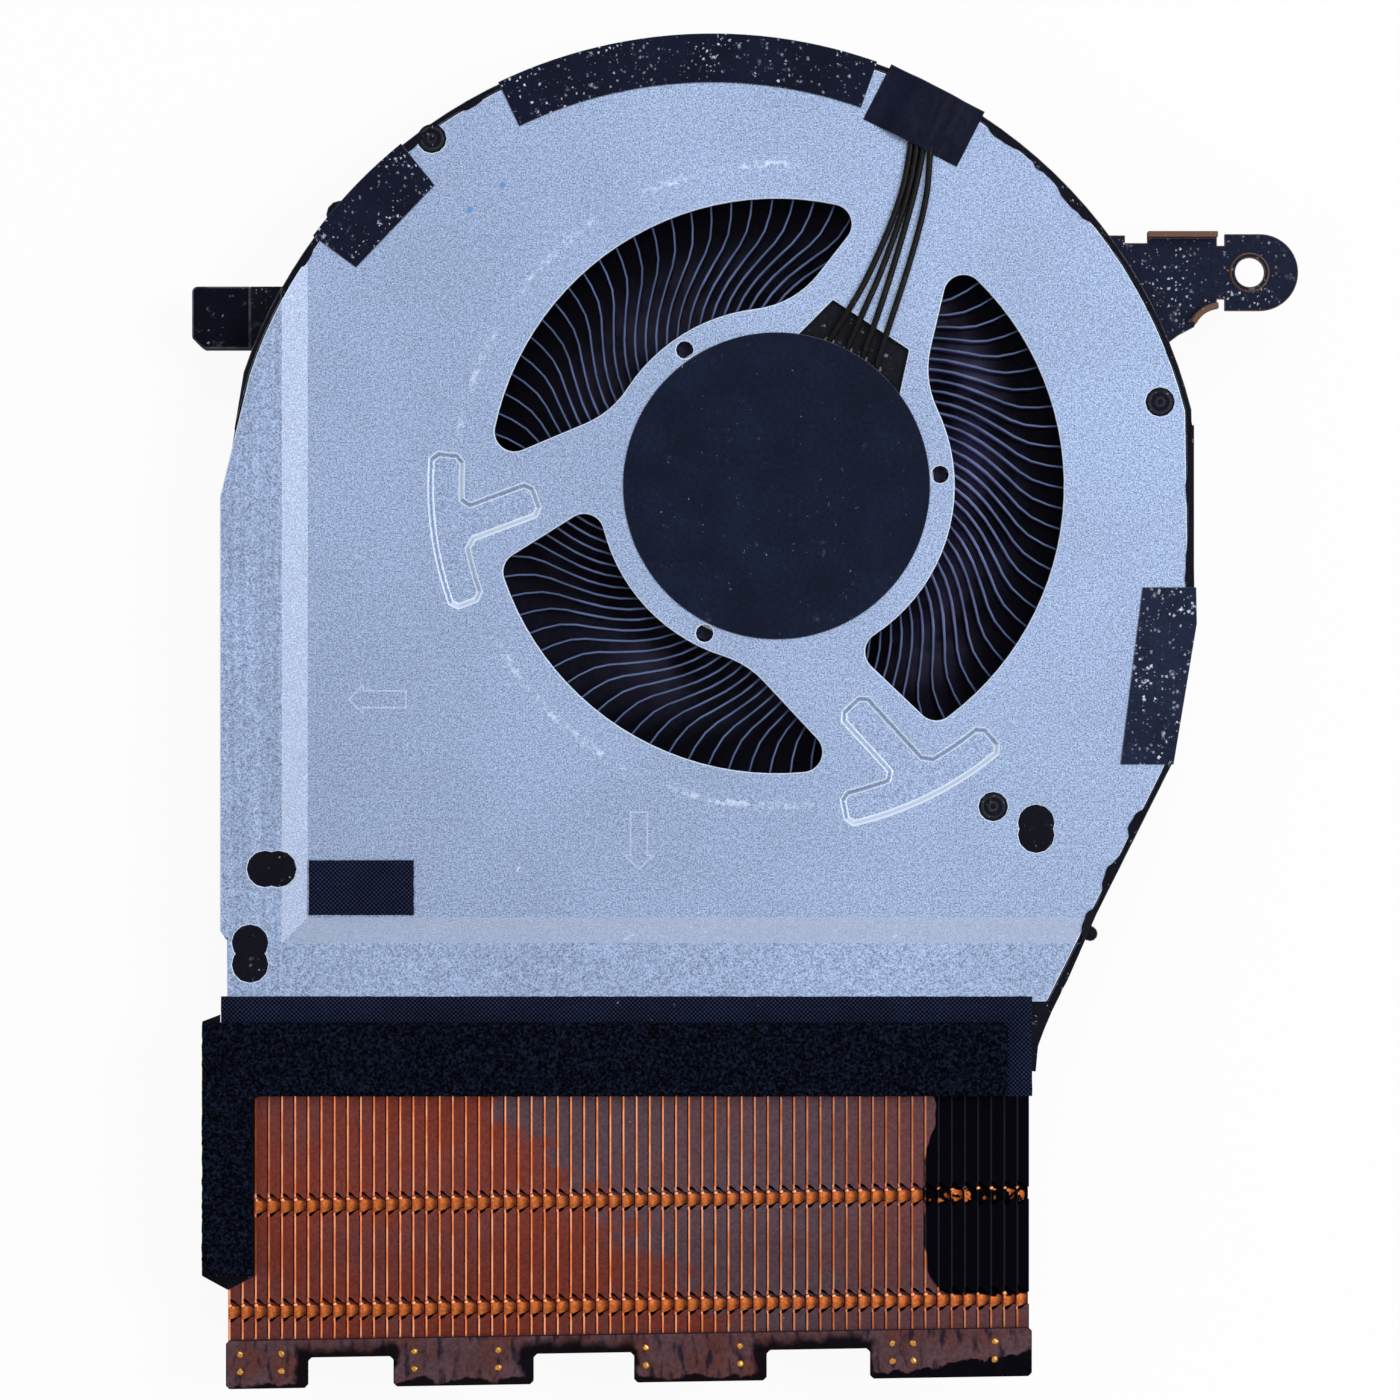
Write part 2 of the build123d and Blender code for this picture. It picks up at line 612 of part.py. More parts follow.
def arm_plan():
    """Plan of the arm's flat sheet, from inside the wall to its round ear."""
    ear_x = ARM_END_X - ARM_EAR_R
    notch_x = ARM_NOTCH_X + ARM_NOTCH_W
    ear_low = ARM_HOLE_Y - ARM_EAR_R
    ear_top = ARM_HOLE_Y + ARM_EAR_R
    sheet = Polygon(
        ARM_ROOT_LOW,
        (ARM_LOW_X, ARM_LOW_Y),
        (notch_x, ear_low),
        (ear_x, ear_low),
        (ear_x, ear_top),
        (notch_x, ear_top),
        (notch_x, ARM_TOP_Y),
        (ARM_ROOT_TOP[0] + ARM_ROOT_STEP, ARM_TOP_Y),
        (ARM_ROOT_TOP[0] + ARM_ROOT_STEP, ARM_ROOT_TOP[1]),
        ARM_ROOT_TOP,
        align=None,
    )
    sheet += Pos(ear_x, ARM_HOLE_Y) * Circle(ARM_EAR_R)
    sheet += arm_flange_plan(ARM_FLANGE_OUT)
    scoop = Pos(ARM_SCOOP_X, ARM_SCOOP_Y) * Circle(ARM_SCOOP_R - ARM_T)
    sheet -= scoop & Pos(notch_x - REACH / 2, 0) * Rectangle(REACH, 2 * REACH)
    for notch_y in (ear_low, ear_top):
        sheet -= Pos(ARM_NOTCH_X + ARM_NOTCH_W / 2, notch_y) * Rectangle(ARM_NOTCH_W, 2 * ARM_NOTCH_D)
    return sheet - Pos(ARM_HOLE_X, ARM_HOLE_Y) * Circle(ARM_HOLE_R)


def arm_flange_plan(width):
    """Plan of the straight upper flange, measured in from its outer face."""
    middle = (ARM_FLANGE_X + ARM_NOTCH_X) / 2
    outer = ARM_TOP_Y + ARM_FLANGE_OUT
    return Pos(middle, outer - width / 2) * Rectangle(ARM_NOTCH_X - ARM_FLANGE_X, width)


def mounting_arm():
    """Coated sheet arm with two turned-up flanges and a collared screw hole."""
    root = slab(Pos(RIM_X, RIM_Y) * Circle(RIM_R - ARM_ROOT_DEPTH), 0, BORDER_Z)
    top = ARM_Z + ARM_T
    arm = slab(arm_plan(), ARM_Z, top)
    scoop = Circle(ARM_SCOOP_R) - Circle(ARM_SCOOP_R - ARM_T)
    scoop &= sector(ARM_SCOOP_A0, ARM_SCOOP_A1)
    flanges = Pos(ARM_SCOOP_X, ARM_SCOOP_Y) * scoop + arm_flange_plan(ARM_T)
    arm += slab(flanges, ARM_Z, ARM_Z + ARM_FLANGE_H)
    collar = Circle(ARM_COLLAR_R) - Circle(ARM_HOLE_R)
    arm += slab(Pos(ARM_HOLE_X, ARM_HOLE_Y) * collar, top, top + ARM_COLLAR_H)
    return arm - root


def hub_label():
    """Round film label on the middle of the motor plate."""
    return disc(LABEL_R, TOP_Z, TOP_Z + LABEL_T)


def motor_board():
    """Round circuit board under the plate, with an ear below the wire window."""
    ear = offset(wire_window_plan(), BOARD_EDGE, kind=Kind.INTERSECTION)
    plan = motor_round(LABEL_R - BOARD_EDGE) + ear
    return slab(plan - motor_round(HOLDER_R + FIT), PLATE_Z - BOARD_T, PLATE_Z)


def bearing_holder():
    """Barrel that hangs the bearing and the stator from the plate."""
    return slab(motor_round(HOLDER_R) - motor_round(BUSH_R), HOLDER_Z0, PLATE_Z)


def bearing_bush():
    """Sintered sleeve that the shaft runs in."""
    return slab(motor_round(BUSH_R) - Circle(SHAFT_R + SHAFT_CLEAR), HOLDER_Z0, SHAFT_TOP_Z)


def thrust_pad():
    """Disc that closes the barrel and stops the shaft's end."""
    return slab(motor_round(BUSH_R), SHAFT_TOP_Z + THRUST_GAP, PLATE_Z)


def stator_core():
    """Laminated core: a ring, straight poles and shoes that curve with the magnet."""
    plan = motor_round(HOLDER_R + CORE_RING)
    shoe = Pos(STATOR_R - SHOE_T / 2, 0) * Rectangle(SHOE_T, SHOE_W)
    pole_end = STATOR_R - SHOE_T / 2
    pole = Pos((HOLDER_R + pole_end) / 2, 0) * Rectangle(pole_end - HOLDER_R, POLE_W)
    pole += shoe & motor_round(STATOR_R)
    for index in range(POLE_COUNT):
        plan += Rot(0, 0, 360 / POLE_COUNT * index) * pole
    return slab(plan - motor_round(HOLDER_R), CORE_Z, CORE_Z + CORE_H)


def stator_coils():
    """One wound coil round each pole."""
    start = HOLDER_R + CORE_RING + COIL_CLEAR
    end = STATOR_R - SHOE_T - COIL_CLEAR
    hole_w = POLE_W + 2 * COIL_CLEAR
    hole_h = CORE_H + 2 * COIL_CLEAR
    section = Rectangle(hole_w + 2 * COIL_T, hole_h + 2 * COIL_T) - Rectangle(hole_w, hole_h)
    coil = extrude(Plane.YZ.offset(start) * section, amount=end - start)
    coil = Pos(0, 0, CORE_Z + CORE_H / 2) * coil
    return Compound([Rot(0, 0, 360 / POLE_COUNT * index) * coil for index in range(POLE_COUNT)])


def impeller():
    """Moulded hub cup and back disc with many thin blades, each cranked twice."""
    path = Polyline(
        polar(HUB_R - HUB_WALL / 2, BLADE_ROOT_A),
        polar(BLADE_KNEE_R, BLADE_KNEE_A),
        polar(BLADE_BEND_R, BLADE_BEND_A),
        polar(IMPELLER_R, BLADE_TIP_A),
    )
    blade = trace(path, BLADE_T)
    plan = Circle(HUB_R)
    plan += [Rot(0, 0, 360 / BLADE_COUNT * index) * blade for index in range(BLADE_COUNT)]
    wheel = slab(plan, IMPELLER_Z0, IMPELLER_Z1)
    wheel += disc(IMPELLER_R + WEB_EDGE, IMPELLER_Z0, IMPELLER_Z0 + WEB_T)
    return wheel - slab(motor_round(YOKE_R), YOKE_Z, IMPELLER_Z1)


def rotor_yoke():
    """Steel cup inside the hub."""
    cup = slab(motor_round(YOKE_R), YOKE_Z, IMPELLER_Z1)
    return cup - slab(motor_round(MAGNET_R), CUP_Z, IMPELLER_Z1)


def rotor_magnet():
    """Ring magnet inside the yoke."""
    ring = motor_round(MAGNET_R) - motor_round(MAGNET_R - MAGNET_T)
    return slab(ring, CUP_Z, IMPELLER_Z1)


def rotor_shaft():
    """Shaft that stands on the yoke's floor and runs in the bush."""
    return disc(SHAFT_R, CUP_Z, SHAFT_TOP_Z)


def wire_route(index):
    """Points that one wire of the lead follows, from the board to its plug."""
    along = ((WIRE_COUNT - 1) / 2 - index) * WIRE_PITCH
    fold = rim_point(RIM_R - WIRE_FOLD_IN, WIRE_A, along)
    end = rim_point(WIRE_END_R, WIRE_A, along)
    return [
        (*WIRE_PADS[index], PLATE_Z + WIRE_D / 2),
        (*WIRE_EDGES[index], WIRE_TOP_Z + WIRE_LIFT),
        (*WIRE_FANS[index], WIRE_TOP_Z),
        (*WIRE_MIDS[index], WIRE_TOP_Z + WIRE_LIFT),
        (*WIRE_TAPES[index], WIRE_TOP_Z),
        (*fold, WIRE_TOP_Z),
        (*fold, LEAD_Z),
        (*end, LEAD_Z),
    ]


def bend_radii(points):
    """Largest arcs that the runs allow, with tight folds over the rim."""
    radii = []
    for before, here, after in zip(points, points[1:], points[2:]):
        run_in = Vector(*here) - Vector(*before)
        run_out = Vector(*after) - Vector(*here)
        half_turn = radians(run_in.get_angle(run_out)) / 2
        largest = BEND_SHARE * min(run_in.length, run_out.length) / tan(half_turn)
        over_rim = max(abs(run_in.Z), abs(run_out.Z)) > CHAMBER_H
        radii.append(WIRE_FOLD_R if over_rim else largest)
    return radii


def lead_wire(index):
    """One wire of the lead, as straight runs joined by arcs."""
    points = wire_route(index)
    path = FilletPolyline(*points, radius=bend_radii(points))
    section = Plane(origin=path @ 0, z_dir=path % 0) * RegularPolygon(WIRE_D / 2, WIRE_SIDES)
    return sweep(section, path=path)


def lead_plug():
    """Four-way plug on the lead's end, lying in the recess under the cover."""
    place = Plane(
        origin=(*rim_point(WIRE_END_R - PLUG_L / 2, WIRE_A), FIT),
        x_dir=(-cos(radians(WIRE_A)), -sin(radians(WIRE_A)), 0),
        z_dir=(0, 0, 1),
    )
    body = extrude(Rectangle(PLUG_L, PLUG_W), amount=PLUG_H)
    for index in range(WIRE_COUNT):
        across = (index - (WIRE_COUNT - 1) / 2) * WIRE_PITCH
        spot = Pos((PLUG_L - PLUG_SLOT_L) / 2, across, PLUG_H - PLUG_SLOT_D)
        body -= spot * extrude(Rectangle(PLUG_SLOT_L, WIRE_PITCH / 2), amount=PLUG_SLOT_D)
    return place.location * body


def rim_tape(plan):
    """Thin tape on the plate that folds down over the rim."""
    housing = housing_plan(0, LEFT_TUCK)
    tape = slab(plan & housing, TOP_Z, TOP_Z + TAPE_T)
    skirt = plan & (housing_plan(-TAPE_T, LEFT_TUCK) - housing)
    tape += slab(skirt, TOP_Z - TAPE_DROP, TOP_Z + TAPE_T)
    boss = small_round(RIM_BOSS_R + FIT, rim_point(RIM_R - LIP_W, RIM_BOSS_A))
    return tape - slab(boss, 0, TOP_Z)


def rim_band(radius, angle0, angle1):
    """Plan of a tape that follows the rim."""
    band = Pos(RIM_X, RIM_Y) * (Circle(RIM_R + WALL_T) - Circle(radius))
    return band & sector(angle0, angle1, centre=(RIM_X, RIM_Y))


def rim_tape_top():
    return rim_tape(rim_band(TOP_TAPE_R, TOP_TAPE_A0, TOP_TAPE_A1))


def rim_tape_left():
    """Straight-cut tape at the upper left."""
    middle = (LEFT_TAPE_A0 + LEFT_TAPE_A1) / 2
    chord = LEFT_TAPE_R * cos(radians((LEFT_TAPE_A1 - LEFT_TAPE_A0) / 2))
    cut = Rot(0, 0, middle) * Pos(chord + REACH / 2, 0) * Rectangle(REACH, REACH)
    cut = Pos(RIM_X, RIM_Y) * cut
    return rim_tape(cut & rim_band(chord, LEFT_TAPE_A0, LEFT_TAPE_A1))


def rim_tape_right():
    """Slanted tape on the right flank."""
    return rim_tape(Polygon(
        (RIGHT_TAPE_X - RIGHT_TAPE_LEAN, RIGHT_TAPE_Y0),
        (FLANK_X + WALL_T, RIGHT_TAPE_Y0),
        (FLANK_X + WALL_T, RIGHT_TAPE_Y1),
        (RIGHT_TAPE_X, RIGHT_TAPE_Y1),
        align=None,
    ))


def wire_tape():
    """Tape that holds the lead, humped over the wires and folded over the rim."""
    half = WIRE_TAPE_L / 2
    foot = WIRE_TAPE_FLAT + WIRE_TAPE_RAMP
    rise = WIRE_D + 3 * FIT
    under = [(-half, 0), (-foot, 0), (-WIRE_TAPE_FLAT, rise), (WIRE_TAPE_FLAT, rise), (foot, 0), (half, 0)]
    over = [(x, z + TAPE_T) for x, z in reversed(under)]
    tangent = (-sin(radians(WIRE_TAPE_A)), cos(radians(WIRE_TAPE_A)), 0)
    outward = (cos(radians(WIRE_TAPE_A)), sin(radians(WIRE_TAPE_A)), 0)
    start = Plane(origin=(*rim_point(WIRE_TAPE_R, WIRE_TAPE_A), TOP_Z), x_dir=tangent, z_dir=outward)
    sheet = extrude(start * Polygon(*under, *over, align=None), amount=RIM_R - WIRE_TAPE_R + TAPE_T)
    sheet &= slab(housing_plan(-TAPE_T, LEFT_TUCK), TOP_Z, TOP_Z + rise + TAPE_T)
    rim = housing_plan(-TAPE_T, LEFT_TUCK) - housing_plan(0, LEFT_TUCK)
    span = degrees(atan2(half, RIM_R))
    rim &= sector(WIRE_TAPE_A - span, WIRE_TAPE_A + span, centre=(RIM_X, RIM_Y))
    hump = degrees(atan2(WIRE_TAPE_FLAT, RIM_R))
    end = rim & sector(WIRE_TAPE_A - hump, WIRE_TAPE_A + hump, centre=(RIM_X, RIM_Y))
    return sheet + slab(rim, TOP_Z - TAPE_DROP, TOP_Z + TAPE_T) + slab(end, TOP_Z, TOP_Z + rise + TAPE_T)


def cloth_patch():
    """Small woven patch on the plate."""
    return box(PATCH_X0, PATCH_X1, PATCH_Y0, PATCH_Y1, TOP_Z, TOP_Z + PATCH_T)


def outlet_tape():
    """Woven tape that joins the plate's border to the fins."""
    return box(OUTLET_TAPE_X0, OUTLET_TAPE_X1, OUTLET_TAPE_Y0, OUTLET_TAPE_Y1, FIN_TOP_Z, FOAM_Z)


def foam_gasket():
    """L-shaped foam strip along the outlet and down the left of the fins."""
    strip = box(FOAM_X0, FOAM_X1, OUTLET_TAPE_Y0, FOAM_Y1, FOAM_Z, FOAM_Z + FOAM_T)
    return strip + box(FOAM_X0, FOAM_LEG_X1, FOAM_LEG_Y0, OUTLET_TAPE_Y0, FOAM_Z, FOAM_Z + FOAM_T)


def side_film():
    """Thin film that carries the foam's overhanging left edge."""
    tape_x = OUTLET_TAPE_X0 - FIT
    tape_y = OUTLET_TAPE_Y0 - FIT
    plan = Polygon(
        (FOAM_X0, FOAM_Y1),
        (tape_x, FOAM_Y1 + FILM_TIP / 2),
        (tape_x, tape_y),
        (FOAM_LEG_X1, tape_y),
        (FOAM_LEG_X1, FOAM_LEG_Y0),
        (FIN_LEFT_X, FOAM_LEG_Y0 - FILM_TIP),
        (FOAM_X0, FOAM_LEG_Y0),
        align=None,
    )
    return slab(plan, FIN_TOP_Z, FOAM_Z)


def copper_fin():
    """First fin: an upright sheet with folded flanges and two zip slots on top."""
    right = FIN_LEFT_X + FIN_PITCH - FIN_SEAM
    inner = FIN_LEFT_X + FIN_T
    end_y = FIN_START_Y - FIN_LEN
    fin = box(FIN_LEFT_X, inner, end_y, FIN_START_Y, 0, FIN_TOP_Z)
    fin += box(inner, right, end_y, FIN_START_Y, 0, FIN_T)
    flange = box(inner, right, end_y, FIN_START_Y, FIN_TOP_Z - FIN_T, FIN_TOP_Z)
    for distance in ZIP_AT:
        y = FIN_START_Y - distance
        narrow = ZIP_GAP / 2
        wide = narrow + ZIP_SPLAY
        left_end = (inner, y + wide), (inner, y - wide)
        gap = Polygon(*left_end, (right, y - narrow), (right, y + narrow), align=None)
        flange -= slab(gap, FIN_TOP_Z - FIN_T, FIN_TOP_Z)
    return fin + flange


def heat_fins():
    """Row of like fins, each stepped along Y."""
    fin = copper_fin()
    return Compound([Pos(FIN_PITCH * index, FIN_STEP * index) * fin for index in range(FIN_COUNT)])


def fin_plate_point(along, down):
    """Point on the fin plate, counted from its upper left corner along its slanted edge."""
    return (FIN_PLATE_X0 + along, FIN_PLATE_Y + FIN_PLATE_SLOPE * along - down)


def fin_plate():
    """Castellated copper strip on the fins' far ends."""
    points = [(0, 0), (0, FIN_PLATE_W)]
    for start, end in NOTCHES:
        points += [(start, FIN_PLATE_W), (start, FIN_PLATE_W - NOTCH_D)]
        points += [(end, FIN_PLATE_W - NOTCH_D), (end, FIN_PLATE_W)]
    points += [(FIN_PLATE_L, FIN_PLATE_W), (FIN_PLATE_L, 0)]
    plan = Polygon(*[fin_plate_point(*point) for point in points], align=None)
    plan = chamfer(plan.vertices(), FIN_PLATE_CORNER)
    return slab(plan, FIN_TOP_Z, FIN_TOP_Z + FIN_PLATE_T)


def solder_beads():
    """Pairs of small beads along the fin plate."""
    beads = []
    for along in BEAD_ALONG:
        for inset in (BEAD_IN, BEAD_OUT):
            bead = extrude(RegularPolygon(BEAD_R, BEAD_SIDES), amount=BEAD_H, taper=BEAD_TAPER)
            beads.append(Pos(*fin_plate_point(along, inset), FIN_TOP_Z + FIN_PLATE_T) * bead)
    return Compound(beads)


def main():
    """Build every piece, centre the fan over its origin and write one file for each."""
    pieces = {
        "motor_plate": motor_plate(),
        "side_frame": side_frame(),
        "floor_cover": floor_cover(),
        "mounting_arm": mounting_arm(),
        "rubber_bumper": rubber_bumper(),
        "hub_label": hub_label(),
        "motor_board": motor_board(),
        "bearing_holder": bearing_holder(),
        "bearing_bush": bearing_bush(),
        "thrust_pad": thrust_pad(),
        "stator_core": stator_core(),
        "stator_coils": stator_coils(),
        "impeller": impeller(),
        "rotor_yoke": rotor_yoke(),
        "rotor_magnet": rotor_magnet(),
        "rotor_shaft": rotor_shaft(),
        "wire_tape": wire_tape(),
        "rim_tape_top": rim_tape_top(),
        "rim_tape_left": rim_tape_left(),
        "rim_tape_right": rim_tape_right(),
        "cloth_patch": cloth_patch(),
        "outlet_tape": outlet_tape(),
        "foam_gasket": foam_gasket(),
        "side_film": side_film(),
        "heat_fins": heat_fins(),
        "fin_plate": fin_plate(),
        "solder_beads": solder_beads(),
    }
    bounds = [piece.bounding_box() for piece in pieces.values()]
    middle_x = (min(b.min.X for b in bounds) + max(b.max.X for b in bounds)) / 2
    middle_y = (min(b.min.Y for b in bounds) + max(b.max.Y for b in bounds)) / 2
    for index in range(WIRE_COUNT):
        pieces[f"lead_wire_{index + 1}"] = lead_wire(index)
        print("wire bends", [round(radius, 2) for radius in bend_radii(wire_route(index))])
    pieces["lead_plug"] = lead_plug()
    print("fan axis", round(-middle_x, 4), round(-middle_y, 4))
    os.makedirs("parts", exist_ok=True)
    for name, piece in pieces.items():
        export_step(Pos(-middle_x, -middle_y) * piece, f"parts/{name}.step")


main()
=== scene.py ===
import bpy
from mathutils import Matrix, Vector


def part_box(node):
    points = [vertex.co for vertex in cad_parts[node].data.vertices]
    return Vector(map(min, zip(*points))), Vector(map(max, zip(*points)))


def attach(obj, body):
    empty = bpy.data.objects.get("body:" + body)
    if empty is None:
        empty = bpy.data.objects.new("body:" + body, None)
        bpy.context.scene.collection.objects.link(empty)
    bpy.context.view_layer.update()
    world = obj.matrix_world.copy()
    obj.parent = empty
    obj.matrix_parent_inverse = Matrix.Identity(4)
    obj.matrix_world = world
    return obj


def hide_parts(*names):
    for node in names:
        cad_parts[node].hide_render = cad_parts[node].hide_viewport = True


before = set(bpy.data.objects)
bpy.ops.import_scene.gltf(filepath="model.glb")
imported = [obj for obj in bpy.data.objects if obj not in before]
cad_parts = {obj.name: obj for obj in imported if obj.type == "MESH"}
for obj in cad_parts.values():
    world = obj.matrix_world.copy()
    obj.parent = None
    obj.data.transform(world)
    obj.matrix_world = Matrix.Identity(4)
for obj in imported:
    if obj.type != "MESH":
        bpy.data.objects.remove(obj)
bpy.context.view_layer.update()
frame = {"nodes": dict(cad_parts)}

from math import cos, degrees, pi, radians, sin

import bmesh
import bpy
from bmesh.types import BMEdge, BMFace, BMVert
from bpy.props import FloatProperty, FloatVectorProperty, PointerProperty
from mathutils import Matrix, Vector, noise

bl_info = {
    "name": "Laptop blower with copper fins",
    "version": (1, 0, 0),
    "blender": (4, 5, 0),
    "location": "View3D > Sidebar > Blower",
    "description": "Dresses the packed blower fan with its worn metal, plastic, tape, foam and copper",
    "category": "Object",
}

# Shapes are drawn in millimetres about the fan axis, then put into the frame's metres.
MM = 0.001
LABEL_LOW, LABEL_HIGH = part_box("hub_label")
AXIS = (LABEL_LOW + LABEL_HIGH) / 2
FAN = Matrix.Translation((AXIS.x, AXIS.y, 0)) @ Matrix.Scale(MM, 4)
UP = Vector((0, 0, 1))
FULL_TURN = 2 * pi
MERGE = 0.0005

# Camera and lamps, in metres: each lamp's name, power setting, size and place
CAMERA_XY = (-0.00382, 0.00092)
LAMPS = (
    ("right_light", "key", 0.3, (0.4, 0.08, 0.62)),
    ("top_light", "top", 0.3, (0.06, 0.42, 0.62)),
    ("fill_light", "fill", 0.6, (-0.5, -0.2, 0.45)),
)
WHITE = (1.0, 1.0, 1.0, 1.0)

# Plan and heights of the housing, as the solids have them
PLATE_Z = 9.4
TOP_Z = 10.0
BORDER_Z = 10.6
BORDER_X = -42.4
RIM = Vector((-5.5, -3.7, 0))
RIM_R = 42.35
FLANK = (
    (35.8, 5.2), (35.8, -11.6), (33.8, -23.8), (28.5, -34.4), (26.4, -39.0), (24.9, -42.4), (23.8, -44.4),
)
OUTLET_CORNER = ((24.4, -43.4), (23.6, -45.0), (23.0, -46.4), (22.4, -48.0), (22.2, -50.2))
OUTLET_DROP = 1.15

# Arcs of flash along the rim: first and last angle, and share of the widest flash
FLASH_ARCS = ((158, 116, 0.8), (56, 35, 1.1), (35, 12, 0.5))
FLASH_T = 0.07

# Plug heads: middle, height, radius, and whether the mould's gate shows, and one placed by radius and angle
RIM_PLUG = (RIM_R - 1.1, 125.7)
PLUG_HEADS = (
    (-43.83, -32.84, BORDER_Z, 1.5, False), (-42.73, -32.84, BORDER_Z + 0.02, 1.5, False),
    (-45.11, -39.17, BORDER_Z + 0.02, 1.5, False), (-45.11, -41.03, BORDER_Z, 1.5, False),
    (22.27, -28.88, TOP_Z + 0.02, 1.5, False), (22.27, -29.92, TOP_Z, 1.5, False),
    (18.58, -27.5, TOP_Z, 1.2, True), (32.9, 7.2, TOP_Z, 1.2, True),
)
GATE_RINGS = ((0.18, 0.03), (0.24, 0.09), (0.34, 0.09), (0.4, 0.03), (0.66, 0.03), (0.72, 0.08), (0.8, 0.08))

# Marks on the plate: blue dots beside the upper intake, rubbed arcs and stamped arrows
INK_DOTS = ((-26.3, 23.7, TOP_Z), (-23.5, 25.8, TOP_Z))
RUBBED_ARCS = ((27.45, -150, -84), (27.6, 86, 172))
ARROWS = (((-34.1, -18.3), 90.0), ((-11.8, -30.3), 180.0))
ARROW_OUTLINE = ((-0.8, -2.4), (0.8, -2.4), (0.8, 1.3), (1.4, 1.3), (0.0, 2.7), (-1.4, 1.3), (-0.8, 1.3))
ARROW_LINE = 0.16
ARROW_MARK = 0.35

# Lead: length of each wire, and where it starts, crosses the window's edge, fans out and passes the tape
WIRE_LENGTHS = (0.0361, 0.0362, 0.0364, 0.0369)
WIRE_D = 0.54
WIRE_PITCH = 0.58
WIRE_A = 64.2
WIRE_PADS = ((4.5, 12.44), (6.05, 11.67), (7.34, 10.9), (8.54, 10.04))
WIRE_EDGES = ((6.1, 14.85), (7.25, 14.5), (8.37, 13.73), (9.4, 13.04))
WIRE_FANS = ((8.11, 18.4), (9.01, 18.4), (9.91, 18.4), (11.23, 18.4))
WIRE_MIDS = ((10.68, 24.54), (11.2, 24.54), (11.71, 24.54), (12.91, 24.54))
WIRE_TAPES = ((11.5, 28.83), (12.05, 28.83), (12.6, 28.74), (13.15, 28.4))
WIRE_FOLD_R = 41.93
WIRE_END_R = 36.0
WIRE_TOP_Z = 10.32
WIRE_LIFT = 0.1
LEAD_Z = 0.32

# Tape over the wires
TAPE_A = 62.9
TAPE_HALF = 4.5
TAPE_R = 37.2
TAPE_FOLD_R = RIM_R + 0.02
TAPE_DROP = 3.0
TAPE_T = 0.13
TAPE_HUMP = 0.66

# Impeller: radius and angle of points along one blade
BLADE_COUNT = 87
BLADE_CURVE = (
    (14.1, 23.7), (15.5, 20.25), (16.6, 17.25), (17.4, 14.75), (18.2, 12.25), (19.1, 9.25),
    (20.1, 6.25), (21.0, 3.75), (22.1, 1.75), (23.5, 0.5), (24.6, 0.0), (27.5, -1.0), (30.5, -2.0),
)
BLADE_FOOT_Z = 3.2
IMPELLER_Z1 = 8.45
WHEEL_PROFILE = (
    (0.0, 3.7), (13.6, 3.7), (13.6, 8.45), (14.6, 8.45), (14.6, 3.4), (30.6, 3.4), (30.6, 2.9), (0.0, 2.9),
)

# Fins
FIN_COUNT = 61
FIN_PITCH = 1.125
FIN_T = 0.18
FIN_LEFT_X = -47.0
FIN_RIGHT_X = FIN_LEFT_X + FIN_COUNT * FIN_PITCH
FIN_START_Y = -45.6
FIN_STEP = 0.0188
FIN_LEN = 28.4
FIN_FLANGE = (0.0, 0.18, 0.4, 0.62, 0.84, 1.0)
PAINT_LEFT_X = 12.7
PAINT_LOW_Y = -69.4
PAINT_CORNER = 2.4

# Zip rows: how far along a fin, half widths of a slot at the bend and at the seam, and what lies in it
ZIP_AT = (16.1, 25.1)
ZIP_LEFT = 1.0
ZIP_RIGHT = 0.52
ZIP_SHEET = 0.08
SADDLE = (
    ((0.1, 0.8, 0.3), (0.5, 0.66, 0.3), (1.05, 0.42, 0.36)),
    ((0.1, 0.44, 0.16), (0.5, 0.36, 0.22), (1.05, 0.26, 0.3)),
    ((0.1, -0.2, 0.1), (0.5, -0.22, 0.12), (1.05, -0.14, 0.24)),
    ((0.1, -0.76, 0.14), (0.5, -0.64, 0.16), (1.05, -0.42, 0.3)),
)
# A sheet under each slot, added to show the channel's painted shade
SHADE_PAN = ((0.02, -1.05), (1.1, -1.05), (1.1, 1.05), (0.02, 1.05))
SHADE_PAN_DOWN = 1.4
# The nub carries a painted highlight
NUB = (0.16, 0.42, 0.12)
NUB_R = 0.2

# Strip on the fin ends: its slant, and the left and right of each notch
STRIP_SLANT = 0.0164
NOTCHES = ((-40.1, -32.8), (-20.8, -12.2), (-0.85, 8.0))
BEAD_R = 0.3

FOAM_VOXEL = 0.26

# Motor's hidden metals: finish, colour and the nodes that take it
MOTOR_METALS = (
    ("bearing_metal", (0.7, 0.5, 0.25), ("bearing_holder", "bearing_bush")),
    ("motor_steel", (0.45, 0.45, 0.48), ("stator_core", "rotor_yoke", "rotor_shaft")),
    ("coil_copper", (0.6, 0.25, 0.1), ("stator_coils",)),
)


def mm(length):
    """A length property in millimetres."""
    return length / MM


def rim_point(radius, angle, along=0.0):
    """Point about the rim's own centre, moved along the rim's tangent."""
    turn = radians(angle)
    return RIM + Vector((radius * cos(turn) - along * sin(turn), radius * sin(turn) + along * cos(turn), 0))


def step_up(value, low, high):
    """Smooth step from 0 at low to 1 at high."""
    part = min(max((value - low) / (high - low), 0), 1)
    return part * part * (3 - 2 * part)


def node_box(node):
    """A node's lowest and highest corners, in millimetres about the fan axis."""
    return [FAN.inverted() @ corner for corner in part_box(node)]


def node_copy(node):
    """A node's shape, merged and with its flat faces whole, about the fan axis."""
    shape = bmesh.new()
    shape.from_mesh(frame["nodes"][node].data)
    shape.transform(FAN.inverted())
    bmesh.ops.remove_doubles(shape, verts=shape.verts, dist=0.002)
    bmesh.ops.dissolve_limit(shape, angle_limit=radians(0.5), verts=shape.verts, edges=shape.edges)
    return shape


